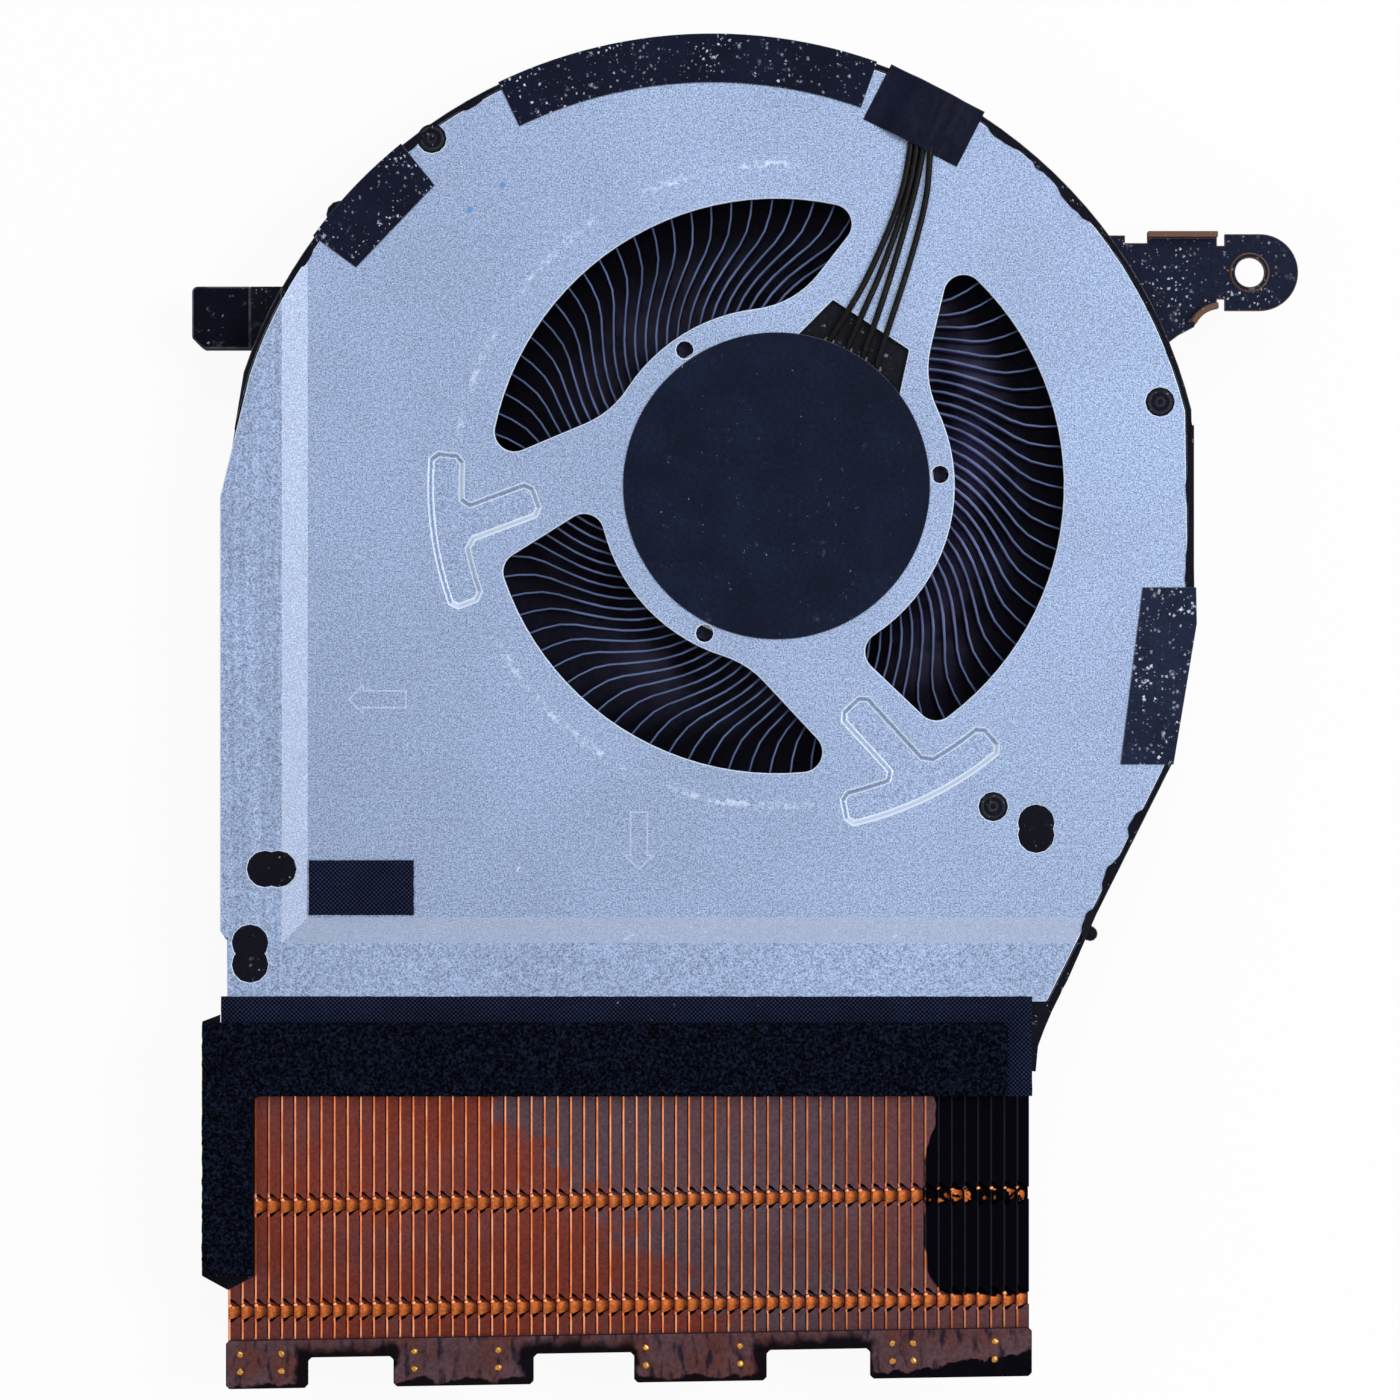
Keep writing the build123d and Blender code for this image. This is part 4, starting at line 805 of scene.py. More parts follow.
class BLOWER_OT_stage(bpy.types.Operator):
    """Puts up the camera, the lamps, the pale world and the floor"""

    bl_idname = "blower.stage"
    bl_label = "Stage"

    def execute(self, context):
        settings = context.scene.blower_stage
        data = bpy.data.cameras.new("photo_camera")
        data.lens = settings.lens
        data.sensor_width = 36.0
        camera = new_object("photo_camera", data)
        camera.location = (*CAMERA_XY, settings.height)
        context.scene.camera = camera
        for name, power, width, place in LAMPS:
            self.lamp(name, getattr(settings, power), width, place)
        self.world(context, settings.ambient)
        self.floor()
        context.scene.view_settings.view_transform = "Standard"
        return {"FINISHED"}

    def lamp(self, name, power, width, place):
        """A square soft lamp that points at the part."""
        data = bpy.data.lights.new(name, "AREA")
        data.energy = power
        data.size = width
        lamp = new_object(name, data)
        lamp.location = place
        lamp.rotation_euler = Vector(place).to_track_quat("Z", "Y").to_euler()

    def seen(self, tree):
        """Mask of the rays that show the background itself."""
        ray = add(tree, "LightPath", {}, "Is Camera Ray")
        return most(ray, ray.also("Is Glossy Ray"), ray.also("Is Transmission Ray"))

    def world(self, context, ambient):
        """White where it is seen, soft light elsewhere."""
        world = bpy.data.worlds.new("pale_world")
        context.scene.world = world
        world.use_nodes = True
        tree = world.node_tree
        soft = tree.nodes["Background"]
        soft.inputs["Color"].default_value = (0.96, 0.98, 1.0, 1.0)
        soft.inputs["Strength"].default_value = ambient
        white = add(tree, "Background", {"Color": WHITE, "Strength": 1.0})
        mix = add(tree, "MixShader", {0: self.seen(tree), 1: Value(soft.outputs[0]), 2: white})
        put(tree.nodes["World Output"].inputs["Surface"], mix)

    def floor(self):
        """Pale floor that keeps a soft shadow."""
        material = bpy.data.materials.new("pale_floor")
        material.use_nodes = True
        tree = material.node_tree
        matt = add(tree, "BsdfDiffuse", {"Color": (0.9, 0.9, 0.9, 1.0)})
        white = add(tree, "Emission", {"Color": WHITE, "Strength": 1.0})
        mix = add(tree, "MixShader", {0: self.seen(tree) * 0.93, 1: matt, 2: white})
        put(tree.nodes["Material Output"].inputs["Surface"], mix)
        shape = bmesh.new()
        bmesh.ops.create_grid(shape, x_segments=1, y_segments=1, size=1.5)
        bmesh.ops.translate(shape, verts=shape.verts, vec=(0, 0, -0.05 * MM))
        mesh = new_mesh(shape, "floor")
        mesh.materials.append(material)
        floor = new_object("floor", mesh)


class BLOWER_OT_lead(bpy.types.Operator):
    """Lays the four wires of the lead from the board over the rim to their plug"""

    bl_idname = "blower.lead"
    bl_label = "Lead"

    def execute(self, context):
        colours = context.scene.blower_colours
        sleeve = dark_skin(
            "wire_sleeve", colours.wire, colours.bare_brown, 0.5, (0.6, 0.5, 0.6, 0.5), 0.35, 0.09)
        for index, length in enumerate(WIRE_LENGTHS):
            self.wire(index, length, sleeve)
        dress("lead_plug", dark_skin(
            "plug_plastic", (0.6, 0.57, 0.48), (0.75, 0.72, 0.62), 0.3, (0.8, 0.3, 0.4, 0.4), 0.45, 0.4))
        dress("motor_board", dark_skin(
            "board_resin", colours.board, colours.dust, 0.3, (0.9, 0.5, 0.3, 0.35), 0.4, 0.06))
        shape = bmesh.new()
        for place in WIRE_PADS:
            self.blob(shape, place)
        joint = plain_metal("joint_solder", (0.1, 0.095, 0.1), 0.5)
        show(shape, "board_joints", "housing", "board_resin", joint)
        return {"FINISHED"}

    def wire(self, index, length, sleeve):
        """One wire on a smooth spline through its route."""
        along = (1.5 - index) * WIRE_PITCH
        fold = rim_point(WIRE_FOLD_R, WIRE_A, along)
        end = rim_point(WIRE_END_R, WIRE_A, along)
        route = [
            (*WIRE_PADS[index], PLATE_Z + WIRE_D / 2),
            (*WIRE_EDGES[index], WIRE_TOP_Z + WIRE_LIFT),
            (*WIRE_FANS[index], WIRE_TOP_Z),
            (*WIRE_MIDS[index], WIRE_TOP_Z + WIRE_LIFT),
            (*WIRE_TAPES[index], WIRE_TOP_Z),
            (fold.x, fold.y, WIRE_TOP_Z),
            (fold.x, fold.y, LEAD_Z),
            (end.x, end.y, LEAD_Z),
        ]
        name = f"lead_wire_{index + 1}"
        data = bpy.data.curves.new(name + "_sleeve", "CURVE")
        data.dimensions = "3D"
        data.bevel_depth = WIRE_D / 2 * MM
        data.bevel_resolution = 3
        data.resolution_u = 10
        data.use_fill_caps = True
        spline = data.splines.new("NURBS")
        spline.points.add(len(route) - 1)
        for point, place in zip(spline.points, route):
            point.co = (*(FAN @ Vector(place)), 1.0)
        spline.order_u = 3
        spline.use_endpoint_u = True
        data.materials.append(sleeve)
        wire = new_object(name + "_sleeve", data)
        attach(wire, "housing")
        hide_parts(name)
        FAN @ Vector(route[0])

    def blob(self, shape, place):
        """Flat solder joint under a wire's end."""
        made = bmesh.ops.create_uvsphere(shape, u_segments=12, v_segments=6, radius=0.55)["verts"]
        bmesh.ops.scale(shape, verts=made, vec=(1.0, 0.8, 0.45))
        bmesh.ops.translate(shape, verts=made, vec=(*place, PLATE_Z + 0.02))


class BLOWER_OT_motor_plate(bpy.types.Operator):
    """Makes the pressed plate with rounded cut edges, soft steps and stamped arrows"""

    bl_idname = "blower.motor_plate"
    bl_label = "Motor plate"

    def execute(self, context):
        sizes = context.scene.blower_sizes
        metal = plate_metal(context.scene.blower_colours)
        shape = node_copy("motor_plate")
        self.mark_slopes(shape)
        # The roundings of the tees and cut edges are marked for that pale paint
        soften(shape, mm(sizes.tee_edge), high=72.0)
        self.rub_tees(shape)
        soften(shape, mm(sizes.cut_edge), low=72.0)
        show(shape, "pressed_plate", "housing", "plate_metal", metal, "motor_plate", crease=0.0)
        arrows = bmesh.new()
        for middle, turn in ARROWS:
            self.arrow(arrows, middle, turn)
        mark = face_mark(arrows, "edge")
        for face in arrows.faces:
            face[mark] = ARROW_MARK
        show(arrows, "stamped_arrows", "housing", "plate_metal", metal)
        return {"FINISHED"}

    def mark_slopes(self, shape):
        """Marks the long slopes up to the border."""
        mark = face_mark(shape, "slope")
        shape.normal_update()
        for face in shape.faces:
            face[mark] = float(0.93 < face.normal.z < 0.995)

    def rub_tees(self, shape):
        """Marks the walls of the tee presses for pale paint: a little on all of them as rubbed metal, and a
        painted highlight where they face the light.
        """
        mark = face_mark(shape, "edge")
        slope = face_mark(shape, "slope")
        shape.normal_update()
        for face in shape.faces:
            if 0.3 < face.normal.z < 0.965 and not face[slope]:
                lit = 0.85 * face.normal.y - 0.5 * face.normal.x
                face[mark] = 0.15 + 0.85 * step_up(lit, 0.0, 0.35)

    def arrow(self, shape, middle, turn):
        """Raised outline of an arrow, a stamped mark for the air's way."""
        part = bmesh.new()
        face = part.faces.new([part.verts.new((x, y, TOP_Z - 0.02)) for x, y in ARROW_OUTLINE])
        part.normal_update()
        bmesh.ops.inset_region(
            part, faces=[face], thickness=ARROW_LINE, use_boundary=True, use_even_offset=True)
        bmesh.ops.delete(part, geom=[face], context="FACES_ONLY")
        top = bmesh.ops.extrude_face_region(part, geom=list(part.faces), use_keep_orig=True)["geom"]
        bmesh.ops.translate(part, verts=only(top, BMVert), vec=(0, 0, 0.06))
        bmesh.ops.recalc_face_normals(part, faces=part.faces)
        part.transform(Matrix.Translation((*middle, 0)) @ Matrix.Rotation(radians(turn), 4, "Z"))
        mesh = new_mesh(part, "arrow")
        shape.from_mesh(mesh)
        bpy.data.meshes.remove(mesh)


class BLOWER_OT_side_frame(bpy.types.Operator):
    """Makes the moulded frame with its ragged flash and the gate rings of its plugs"""

    bl_idname = "blower.side_frame"
    bl_label = "Side frame"

    def execute(self, context):
        sizes = context.scene.blower_sizes
        colours = context.scene.blower_colours
        plastic = dark_skin(
            "frame_plastic", colours.frame, colours.dust, 0.25, (0.45, 0.55, 0.5, 0.5), 0.48, 0.05)
        shape = soften(node_copy("side_frame"), mm(sizes.part_edge), steps=2)
        show(shape, "moulded_frame", "housing", "frame_plastic", plastic, "side_frame")
        heads = bmesh.new()
        for x, y, z, radius, gate in PLUG_HEADS:
            self.head(heads, Vector((x, y, z)), radius, gate)
        self.head(heads, rim_point(*RIM_PLUG) + UP * TOP_Z, 1.2, True)
        show(heads, "plug_heads", "housing", "frame_plastic", plastic)
        flash = bmesh.new()
        widest = mm(sizes.flash)
        for start, end, share in FLASH_ARCS:
            line = [rim_point(RIM_R - 0.25, start + (end - start) * step / 20) for step in range(21)]
            self.flash(flash, line, 0.1, widest * share, FLASH_T)
        self.flash(flash, [Vector((x, y, 0)) for x, y in FLANK], 0.26, widest, FLASH_T)
        corner = [Vector((x, y, -OUTLET_DROP)) for x, y in OUTLET_CORNER]
        self.flash(flash, corner, 2.0, widest, 1.0)
        show(flash, "rim_flash", "housing", "frame_plastic", plastic)
        return {"FINISHED"}

    def head(self, shape, place, radius, gate):
        """Round head of a plug, with the rings that its mould leaves where it has a gate."""
        line = ((0.0, 0.03), *(GATE_RINGS if gate else ()), (0.88, 0.03), (1.0, 0.02), (1.03, -0.05))
        before = set(shape.faces)
        turned(shape, [place + Vector((radius * out, 0, up)) for out, up in line], place, 36)
        mark = face_mark(shape, "edge")
        # The raised gate rings are marked for a faint painted highlight
        for face in set(shape.faces) - before:
            face[mark] = 0.25 * step_up(face.calc_center_median().z - place.z, 0.035, 0.055)

    def flash(self, shape, line, least, widest, thickness):
        """Ragged plastic that reaches inwards from a line."""
        cells = int(sum((b - a).length for a, b in zip(line, line[1:])) / 0.16)
        made = bmesh.ops.create_grid(shape, x_segments=cells, y_segments=2, size=1.0)["verts"]
        for vert in made:
            run = (vert.co.x + 1) / 2 * (len(line) - 1)
            index = min(int(run), len(line) - 2)
            way = line[index + 1] - line[index]
            point = line[index] + way * (run - index)
            inward = Vector((way.y, -way.x, 0)).normalized()
            rough = noise.noise(point * 0.33) * 0.8 + noise.noise(point * 1.1) * 0.2
            width = least + widest * step_up(rough, -0.3, 0.5)
            side = (vert.co.y + 1) / 2
            low = TOP_Z + (BORDER_Z - TOP_Z) * step_up(-point.y, 36.6, 39.4)
            lift = low + 0.04 + 0.04 * side * (1 - side)
            vert.co = point + inward * width * side + UP * lift
        faces = dict.fromkeys(face for vert in made for face in vert.link_faces)
        thicken(shape, list(faces), thickness)


class BLOWER_OT_mounting_arm(bpy.types.Operator):
    """Makes the coated arm with rubbed edges and the rubber bumper of the left tab"""

    bl_idname = "blower.mounting_arm"
    bl_label = "Mounting arm and bumper"

    def execute(self, context):
        colours = context.scene.blower_colours
        edge = mm(context.scene.blower_sizes.part_edge)
        arm = soften(node_copy("mounting_arm"), edge)
        mark = face_mark(arm, "edge")
        rim = max(vert.co.z for vert in arm.verts) - 0.05
        for face in arm.faces:
            if face.calc_center_median().z > rim:
                face[mark] = 1.0
        show(arm, "coated_arm", "housing", "arm_metal", coated_arm(colours), "mounting_arm")
        rubber = dark_skin(
            "bumper_rubber", colours.rubber, colours.dust, 0.3, (0.6, 0.45, 0.4, 0.4), 0.75, 0.03)
        cap = soften(node_copy("rubber_bumper"), 2 * edge)
        show(cap, "tab_bumper", "housing", "bumper_rubber", rubber, "rubber_bumper")
        return {"FINISHED"}


class BLOWER_OT_hub_label(bpy.types.Operator):
    """Makes the bare film label on the hub"""

    bl_idname = "blower.hub_label"
    bl_label = "Hub label"

    def execute(self, context):
        colours = context.scene.blower_colours
        film = dark_skin("label_film", colours.label, colours.dust, 0.35, (0.6, 0.35, 0.15, 0.35), 0.5, 0.05)
        shape = soften(node_copy("hub_label"), mm(context.scene.blower_sizes.film_edge))
        show(shape, "label_disc", "housing", "label_film", film, "hub_label")
        return {"FINISHED"}


class BLOWER_OT_rim_tapes(bpy.types.Operator):
    """Makes the dusty black tapes that fold over the rim"""

    bl_idname = "blower.rim_tapes"
    bl_label = "Rim tapes"

    def execute(self, context):
        edge = mm(context.scene.blower_sizes.film_edge)
        colours = context.scene.blower_colours
        film = dark_skin("tape_film", colours.tape, colours.dust, 0.2, (0.32, 1.0, 1.0, 0.9), 0.55, 0.04)
        worn = dark_skin(
            "worn_tape", colours.tape_worn, colours.dust, 0.2, (0.32, 1.2, 1.5, 0.95), 0.55, 0.05)
        for node, material in (("rim_tape_top", film), ("rim_tape_left", film), ("rim_tape_right", worn)):
            shape = soften(node_copy(node), edge, steps=2)
            show(shape, node + "_film", "housing", "tape_black", material, node)
        clean = dark_skin("clean_tape", colours.tape, colours.dust, 0.2, (0.6, 0.15, 0.0, 0.4), 0.42, 0.045)
        show(self.humped_tape(), "wire_tape_film", "housing", "tape_black", clean, "wire_tape")
        return {"FINISHED"}

    def humped_tape(self):
        """Tape that humps over the wires, wrinkles beside them and folds down the rim."""
        shape = bmesh.new()
        made = bmesh.ops.create_grid(shape, x_segments=60, y_segments=48, size=1.0)["verts"]
        for vert in made:
            along = vert.co.x * TAPE_HALF
            run = TAPE_R + (vert.co.y + 1) / 2 * (TAPE_FOLD_R - TAPE_R + TAPE_DROP)
            hump = TAPE_HUMP * (1 - step_up(abs(along - 0.2), 1.3, 3.1))
            crease = 0.09 * noise.noise((along * 0.9, run * 0.5, 7.0))
            crease += 0.05 * noise.noise((along * 2.4, run, 4.0))
            over = max(0.0, run - TAPE_FOLD_R)
            point = rim_point(min(run, TAPE_FOLD_R), TAPE_A, along)
            hump *= 1 - 0.25 * step_up(over, 0.0, 1.0)
            vert.co = (point.x, point.y, TOP_Z + 0.02 + hump + max(-0.02, crease) - over)
        thicken(shape, list(shape.faces), TAPE_T)
        return shape


class BLOWER_OT_cloth_tapes(bpy.types.Operator):
    """Makes the woven patch and the woven outlet tape"""

    bl_idname = "blower.cloth_tapes"
    bl_label = "Cloth tapes"

    def execute(self, context):
        cloth = woven_cloth(context.scene.blower_colours)
        for node, cells in (("cloth_patch", (36, 20)), ("outlet_tape", (220, 30))):
            show(self.strip(node, cells), node + "_weave", "housing", "cloth", cloth, node)
        return {"FINISHED"}

    def strip(self, node, cells):
        """Thin cloth with a slightly wavering edge and surface."""
        low, high = node_box(node)
        shape = bmesh.new()
        made = bmesh.ops.create_grid(shape, x_segments=cells[0], y_segments=cells[1], size=1.0)["verts"]
        for vert in made:
            x = low.x + (vert.co.x + 1) / 2 * (high.x - low.x)
            y = low.y + (vert.co.y + 1) / 2 * (high.y - low.y)
            rim = max(abs(vert.co.x), abs(vert.co.y)) > 0.999
            ripple = 0.02 * noise.noise((x * 0.6, y * 0.6, 1.0))
            drop = 0.05 if rim else 0.0
            waver = 0.04 * noise.noise((x * 1.5, y * 1.5, 9.0)) if rim else 0.0
            vert.co = (x + waver, y + waver, high.z - 0.03 + ripple - drop)
        thicken(shape, list(shape.faces), high.z - low.z - 0.06)
        return shape


class BLOWER_OT_foam_gasket(bpy.types.Operator):
    """Makes the rough foam gasket and dresses the film under it"""

    bl_idname = "blower.foam_gasket"
    bl_label = "Foam gasket"

    def execute(self, context):
        colours = context.scene.blower_colours
        shape = node_copy("foam_gasket")
        bmesh.ops.triangulate(shape, faces=shape.faces)
        block = new_object("foam_block", new_mesh(shape, "foam_block"))
        cells = block.modifiers.new("cells", "REMESH")
        cells.mode = "VOXEL"
        cells.voxel_size = FOAM_VOXEL
        context.view_layer.update()
        fine = bpy.data.meshes.new_from_object(block.evaluated_get(context.evaluated_depsgraph_get()))
        bpy.data.objects.remove(block)
        rough = bmesh.new()
        rough.from_mesh(fine)
        bmesh.ops.smooth_vert(
            rough, verts=rough.verts, factor=0.5, use_axis_x=True, use_axis_y=True, use_axis_z=True)
        rough.normal_update()
        depth = mm(context.scene.blower_sizes.foam_cell)
        floor_z = node_box("foam_gasket")[0].z
        for vert in rough.verts:
            pit = noise.noise(vert.co * 1.9) * 0.6 + noise.noise(vert.co * 4.3) * 0.4
            if vert.co.z > floor_z + 0.2:
                vert.co += vert.normal * depth * (pit - 0.45)
        piece = show(rough, "foam_gasket_cells", "housing", "foam_black", open_foam(colours), "foam_gasket")
        dress("side_film", dark_skin(
            "side_film", colours.film, colours.dust, 0.4, (0.8, 0.3, 0.5, 0.3), 0.4, 0.03))
        return {"FINISHED"}


class BLOWER_OT_fin_stack(bpy.types.Operator):
    """Makes the folded copper fins with their zip rows"""

    bl_idname = "blower.fin_stack"
    bl_label = "Fin stack"

    def execute(self, context):
        low, high = node_box("heat_fins")
        shape = bmesh.new()
        self.fin(shape, mm(context.scene.blower_sizes.fin_bend), low.z, high.z)
        self.tongues(shape, high.z)
        first = list(shape.verts) + list(shape.edges) + list(shape.faces)
        for index in range(1, FIN_COUNT):
            made = bmesh.ops.duplicate(shape, geom=first)["geom"]
            bmesh.ops.translate(
                shape, verts=only(made, BMVert), vec=(index * FIN_PITCH, index * FIN_STEP, 0))
        copper = fin_copper(context.scene.blower_colours)
        show(shape, "folded_fins", "housing", "fin_copper", copper, "heat_fins")
        return {"FINISHED"}

    def fin(self, shape, bend, z0, z1):
        """One folded sheet with rounded bends, slotted at its two zip rows."""
        x0 = FIN_LEFT_X
        x1 = FIN_LEFT_X + FIN_PITCH
        nip = bend * 0.29
        wide = x1 - x0 - bend
        line = [
            (x1, z0), (x0 + bend, z0), (x0 + nip, z0 + nip), (x0, z0 + bend), (x0, z1 - bend),
            (x0 + nip, z1 - nip), *((x0 + bend + wide * part, z1) for part in FIN_FLANGE),
        ]
        _, edges = chain(shape, [(x, FIN_START_Y, z) for x, z in line])
        stops = [0.0]
        for at in ZIP_AT:
            stops += [at - ZIP_RIGHT, at + ZIP_RIGHT]
        stops.append(FIN_LEN)
        slots = []
        for before, after in zip(stops, stops[1:]):
            made = bmesh.ops.extrude_edge_only(shape, edges=edges)["geom"]
            bmesh.ops.translate(shape, verts=only(made, BMVert), vec=(0, before - after, 0))
            edges = [
                edge for edge in only(made, BMEdge)
                if edge.is_boundary and abs(edge.verts[0].co.y - edge.verts[1].co.y) < 0.001
            ]
            if after - before < 3 * ZIP_RIGHT:
                slots += only(made, BMFace)
        cut = [face for face in slots if face.calc_center_median().z > z1 - bend * 0.8]
        bmesh.ops.delete(shape, geom=cut, context="FACES")
        for vert in shape.verts:
            self.splay(vert, x0 + bend, wide, z1)
        bmesh.ops.recalc_face_normals(shape, faces=shape.faces)
        centre = Vector((x0 + 0.5, FIN_START_Y - FIN_LEN / 2, (z0 + z1) / 2))
        wall = min(shape.faces, key=lambda face: face.calc_center_median().x)
        if wall.normal.dot(wall.calc_center_median() - centre) < 0:
            bmesh.ops.reverse_faces(shape, faces=shape.faces)
        bmesh.ops.solidify(shape, geom=list(shape.faces), thickness=FIN_T)

    def splay(self, vert, start, wide, z1):
        """Opens a slot's edge in an S towards the bend."""
        if vert.co.z < z1 - 0.3:
            return
        for at in ZIP_AT:
            off = FIN_START_Y - vert.co.y - at
            if abs(abs(off) - ZIP_RIGHT) < 0.01:
                part = (vert.co.x - start) / wide
                reach = ZIP_LEFT + (ZIP_RIGHT - ZIP_LEFT) * step_up(part, 0.12, 0.8)
                vert.co.y = FIN_START_Y - at - (reach if off > 0 else -reach)

    def tongues(self, shape, z1):
        """Orange saddle with its nub in each slot, over the next fin's dark tab, and a sheet below; the nub
        and the saddle's top carry a painted highlight, and the sheet shows painted shade.
        """
        mark = face_mark(shape, "tongue")
        for at in ZIP_AT:
            y = FIN_START_Y - at
            strip = [
                [shape.verts.new((FIN_LEFT_X + x, y + back, z1 - down)) for x, back, down in row]
                for row in SADDLE
            ]
            faces = [
                shape.faces.new((upper[side], lower[side], lower[side + 1], upper[side + 1]))
                for upper, lower in zip(strip, strip[1:]) for side in (0, 1)
            ]
            for face in faces[2:]:
                face[mark] = 1.0
            bmesh.ops.solidify(shape, geom=faces, thickness=ZIP_SHEET)
            # Sheet under the slot that shows the channel's painted shade
            corners = [shape.verts.new((FIN_LEFT_X + x, y + back, z1 - SHADE_PAN_DOWN)) for x, back in SHADE_PAN]
            bmesh.ops.solidify(shape, geom=[shape.faces.new(corners)], thickness=ZIP_SHEET)
            nub = bmesh.ops.create_uvsphere(shape, u_segments=8, v_segments=5, radius=NUB_R)["verts"]
            x, back, down = NUB
            bmesh.ops.translate(shape, verts=nub, vec=(FIN_LEFT_X + x, y + back, z1 - down))
            for face in {face for vert in nub for face in vert.link_faces}:
                face[mark] = 1.0


class BLOWER_OT_fin_plate(bpy.types.Operator):
    """Makes the stained strip on the fin ends and its solder beads"""

    bl_idname = "blower.fin_plate"
    bl_label = "Fin plate and beads"

    def execute(self, context):
        colours = context.scene.blower_colours
        shape = soften(node_copy("fin_plate"), mm(context.scene.blower_sizes.part_edge))
        show(shape, "stained_strip", "housing", "strip_copper", strip_copper(colours), "fin_plate")
        beads = bmesh.new()
        for index, (place, base) in enumerate(self.bead_places()):
            self.bead(beads, place, base, index)
        gold = plain_metal("solder_gold", colours.gold, 0.28)
        show(beads, "round_beads", "housing", "solder_gold", gold, "solder_beads")
        return {"FINISHED"}

    def bead_places(self):
        """Middle and foot of each bead of the node."""
        shape = node_copy("solder_beads")
        left = dict.fromkeys(shape.verts)
        while left:
            found = [left.popitem()[0]]
            for vert in found:
                for edge in vert.link_edges:
                    near = edge.other_vert(vert)
                    if near in left:
                        left.pop(near)
                        found.append(near)
            middle = sum((vert.co for vert in found), Vector()) / len(found)
            yield middle, min(vert.co.z for vert in found)
        shape.free()

    def bead(self, shape, middle, base, index):
        """Uneven dome of solder."""
        made = bmesh.ops.create_uvsphere(shape, u_segments=14, v_segments=8, radius=BEAD_R)["verts"]
        for vert in made:
            vert.co *= 1 + 0.22 * noise.noise(vert.co * 4 + Vector((index, 0, 0)))
            vert.co.z = max(0.0, vert.co.z) * 0.62
        bmesh.ops.translate(shape, verts=made, vec=(middle.x, middle.y, base - 0.01))


class BLOWER_OT_impeller(bpy.types.Operator):
    """Makes the wheel with its smoothly curved blades"""

    bl_idname = "blower.impeller"
    bl_label = "Impeller"

    def execute(self, context):
        shape = bmesh.new()
        self.blade(shape, mm(context.scene.blower_sizes.blade))
        bmesh.ops.spin(
            shape, geom=list(shape.verts) + list(shape.edges) + list(shape.faces), cent=(0, 0, 0), axis=UP,
            angle=FULL_TURN * (BLADE_COUNT - 1) / BLADE_COUNT, steps=BLADE_COUNT - 1, use_duplicate=True)
        turned(shape, [(reach, 0, height) for reach, height in WHEEL_PROFILE], (0, 0, 0), 120)
        plastic = blade_plastic(context.scene.blower_colours)
        show(shape, "bladed_wheel", "rotor", "impeller_plastic", plastic, "impeller")
        return {"FINISHED"}

    def blade(self, shape, thickness):
        """One upright blade along its curve."""
        _, edges = chain(shape, [
            (reach * cos(radians(turn)), reach * sin(radians(turn)), BLADE_FOOT_Z)
            for reach, turn in BLADE_CURVE
        ])
        made = bmesh.ops.extrude_edge_only(shape, edges=edges)["geom"]
        bmesh.ops.translate(shape, verts=only(made, BMVert), vec=(0, 0, IMPELLER_Z1 - BLADE_FOOT_Z))
        thicken(shape, list(shape.faces), thickness)
        crest = [
            edge for edge in shape.edges
            if all(vert.co.z > IMPELLER_Z1 - 0.01 for vert in edge.verts) and not edge.is_boundary
            and degrees(edge.calc_face_angle()) > 60
        ]
        bmesh.ops.bevel(
            shape, geom=crest, offset=thickness * 0.32, offset_type="OFFSET", segments=1, profile=0.5,
            affect="EDGES", material=-1,
        )


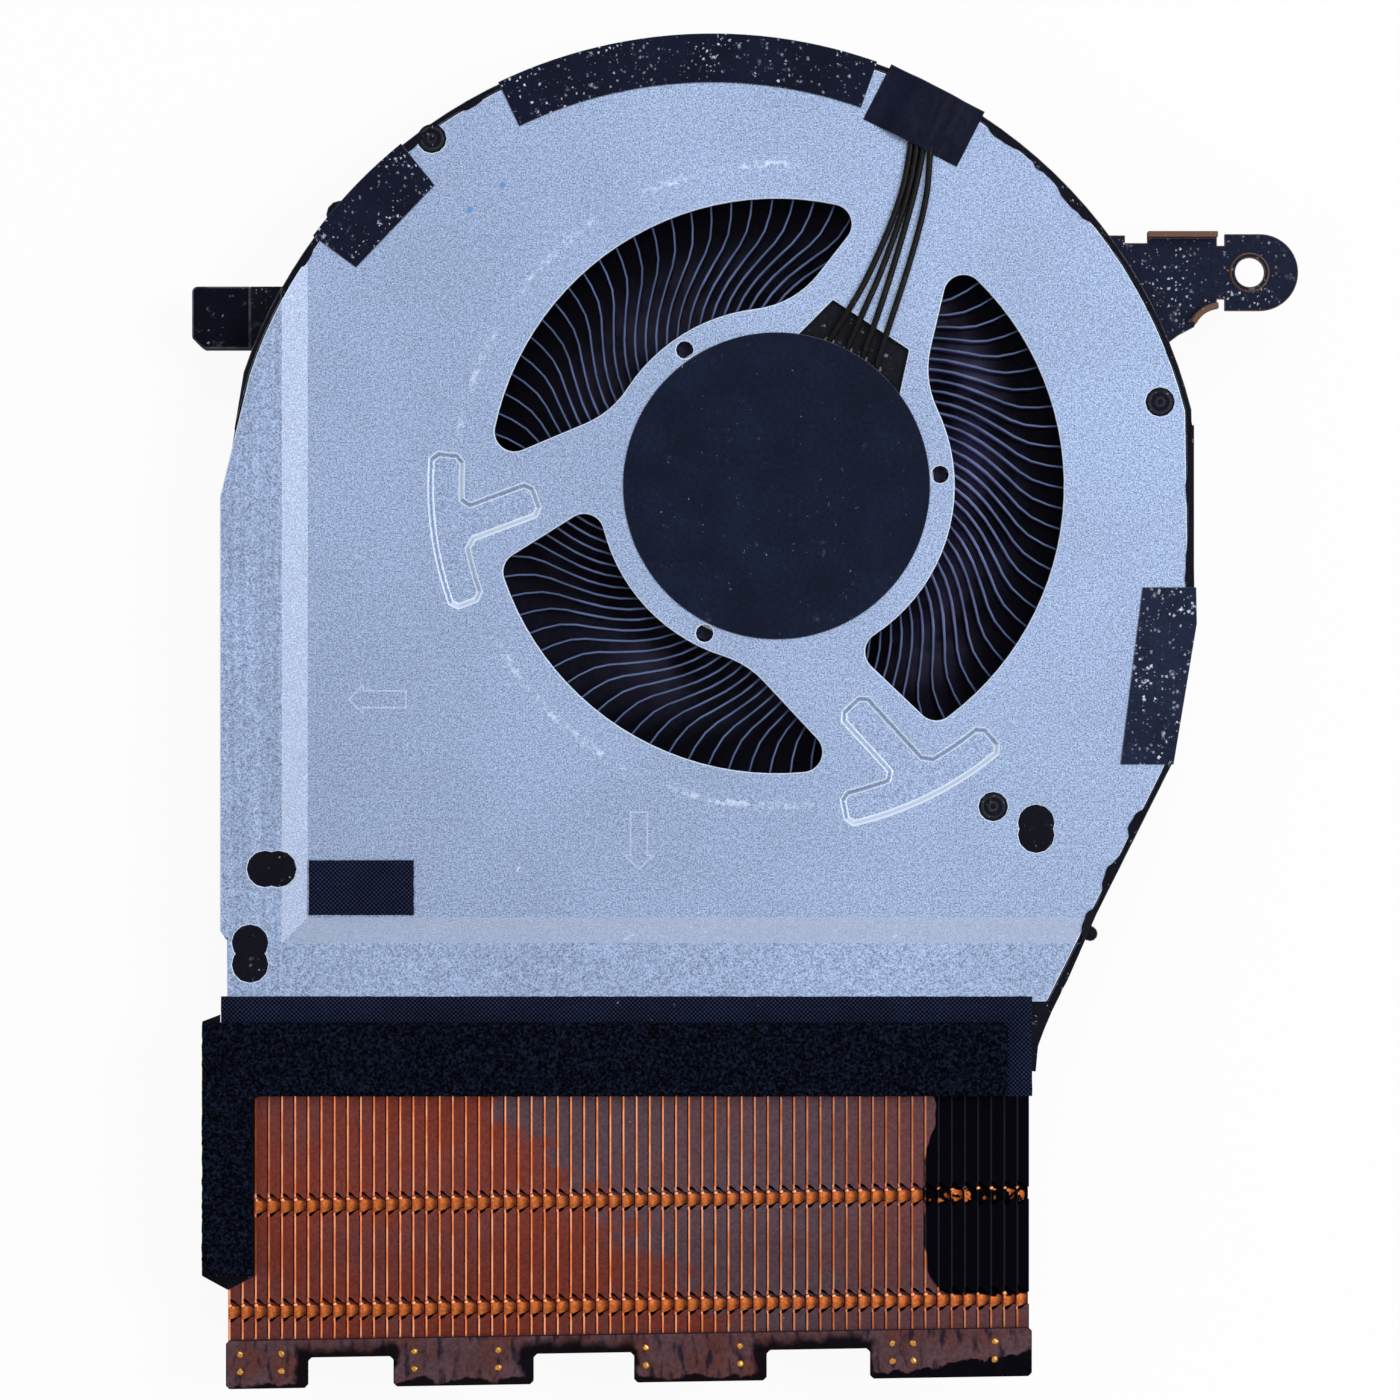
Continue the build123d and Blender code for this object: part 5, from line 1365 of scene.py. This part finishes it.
class BLOWER_OT_motor_inside(bpy.types.Operator):
    """Dresses the floor cover and the motor's hidden pieces"""

    bl_idname = "blower.motor_inside"
    bl_label = "Cover and motor"

    def execute(self, context):
        cover = soften(node_copy("floor_cover"), mm(context.scene.blower_sizes.part_edge))
        sheet = plain_metal("cover_metal", (0.5, 0.52, 0.58), 0.42)
        show(cover, "cover_sheet", "housing", "cover_metal", sheet, "floor_cover")
        for name, shade, nodes in MOTOR_METALS:
            metal = plain_metal(name, shade, 0.35)
            for node in nodes:
                dress(node, metal)
        specks = (0.6, 0.3, 0.2, 0.3)
        dress("rotor_magnet", dark_skin(
            "magnet_ferrite", (0.03, 0.03, 0.032), (0.2, 0.2, 0.2), 0.3, specks, 0.7, 0.3))
        dress("thrust_pad", dark_skin(
            "pad_plastic", (0.7, 0.7, 0.66), (0.8, 0.8, 0.78), 0.3, specks, 0.5, 0.4))
        return {"FINISHED"}


OPERATORS = (
    BLOWER_OT_stage,
    BLOWER_OT_lead,
    BLOWER_OT_motor_plate,
    BLOWER_OT_side_frame,
    BLOWER_OT_mounting_arm,
    BLOWER_OT_hub_label,
    BLOWER_OT_rim_tapes,
    BLOWER_OT_cloth_tapes,
    BLOWER_OT_foam_gasket,
    BLOWER_OT_fin_stack,
    BLOWER_OT_fin_plate,
    BLOWER_OT_impeller,
    BLOWER_OT_motor_inside,
)


class BLOWER_PT_panel(bpy.types.Panel):
    """Lists the pieces in the order in which they are made"""

    bl_label = "Blower"
    bl_idname = "BLOWER_PT_panel"
    bl_space_type = "VIEW_3D"
    bl_region_type = "UI"
    bl_category = "Blower"

    def draw(self, context):
        for operator in OPERATORS:
            self.layout.operator(operator.bl_idname)


GROUPS = (
    ("blower_sizes", BlowerSizes),
    ("blower_colours", BlowerColours),
    ("blower_stage", BlowerStage),
)


def register():
    for name, group in GROUPS:
        bpy.utils.register_class(group)
        setattr(bpy.types.Scene, name, PointerProperty(type=group))
    for operator in OPERATORS:
        bpy.utils.register_class(operator)
    bpy.utils.register_class(BLOWER_PT_panel)


def unregister():
    bpy.utils.unregister_class(BLOWER_PT_panel)
    for operator in reversed(OPERATORS):
        bpy.utils.unregister_class(operator)
    for name, group in reversed(GROUPS):
        delattr(bpy.types.Scene, name)
        bpy.utils.unregister_class(group)


def main():
    """Makes every piece in order."""
    register()
    bpy.ops.blower.stage()
    bpy.ops.blower.lead()
    bpy.ops.blower.motor_plate()
    bpy.ops.blower.side_frame()
    bpy.ops.blower.mounting_arm()
    bpy.ops.blower.hub_label()
    bpy.ops.blower.rim_tapes()
    bpy.ops.blower.cloth_tapes()
    bpy.ops.blower.foam_gasket()
    bpy.ops.blower.fin_stack()
    bpy.ops.blower.fin_plate()
    bpy.ops.blower.impeller()
    bpy.ops.blower.motor_inside()


if __name__ == "__main__":
    main()
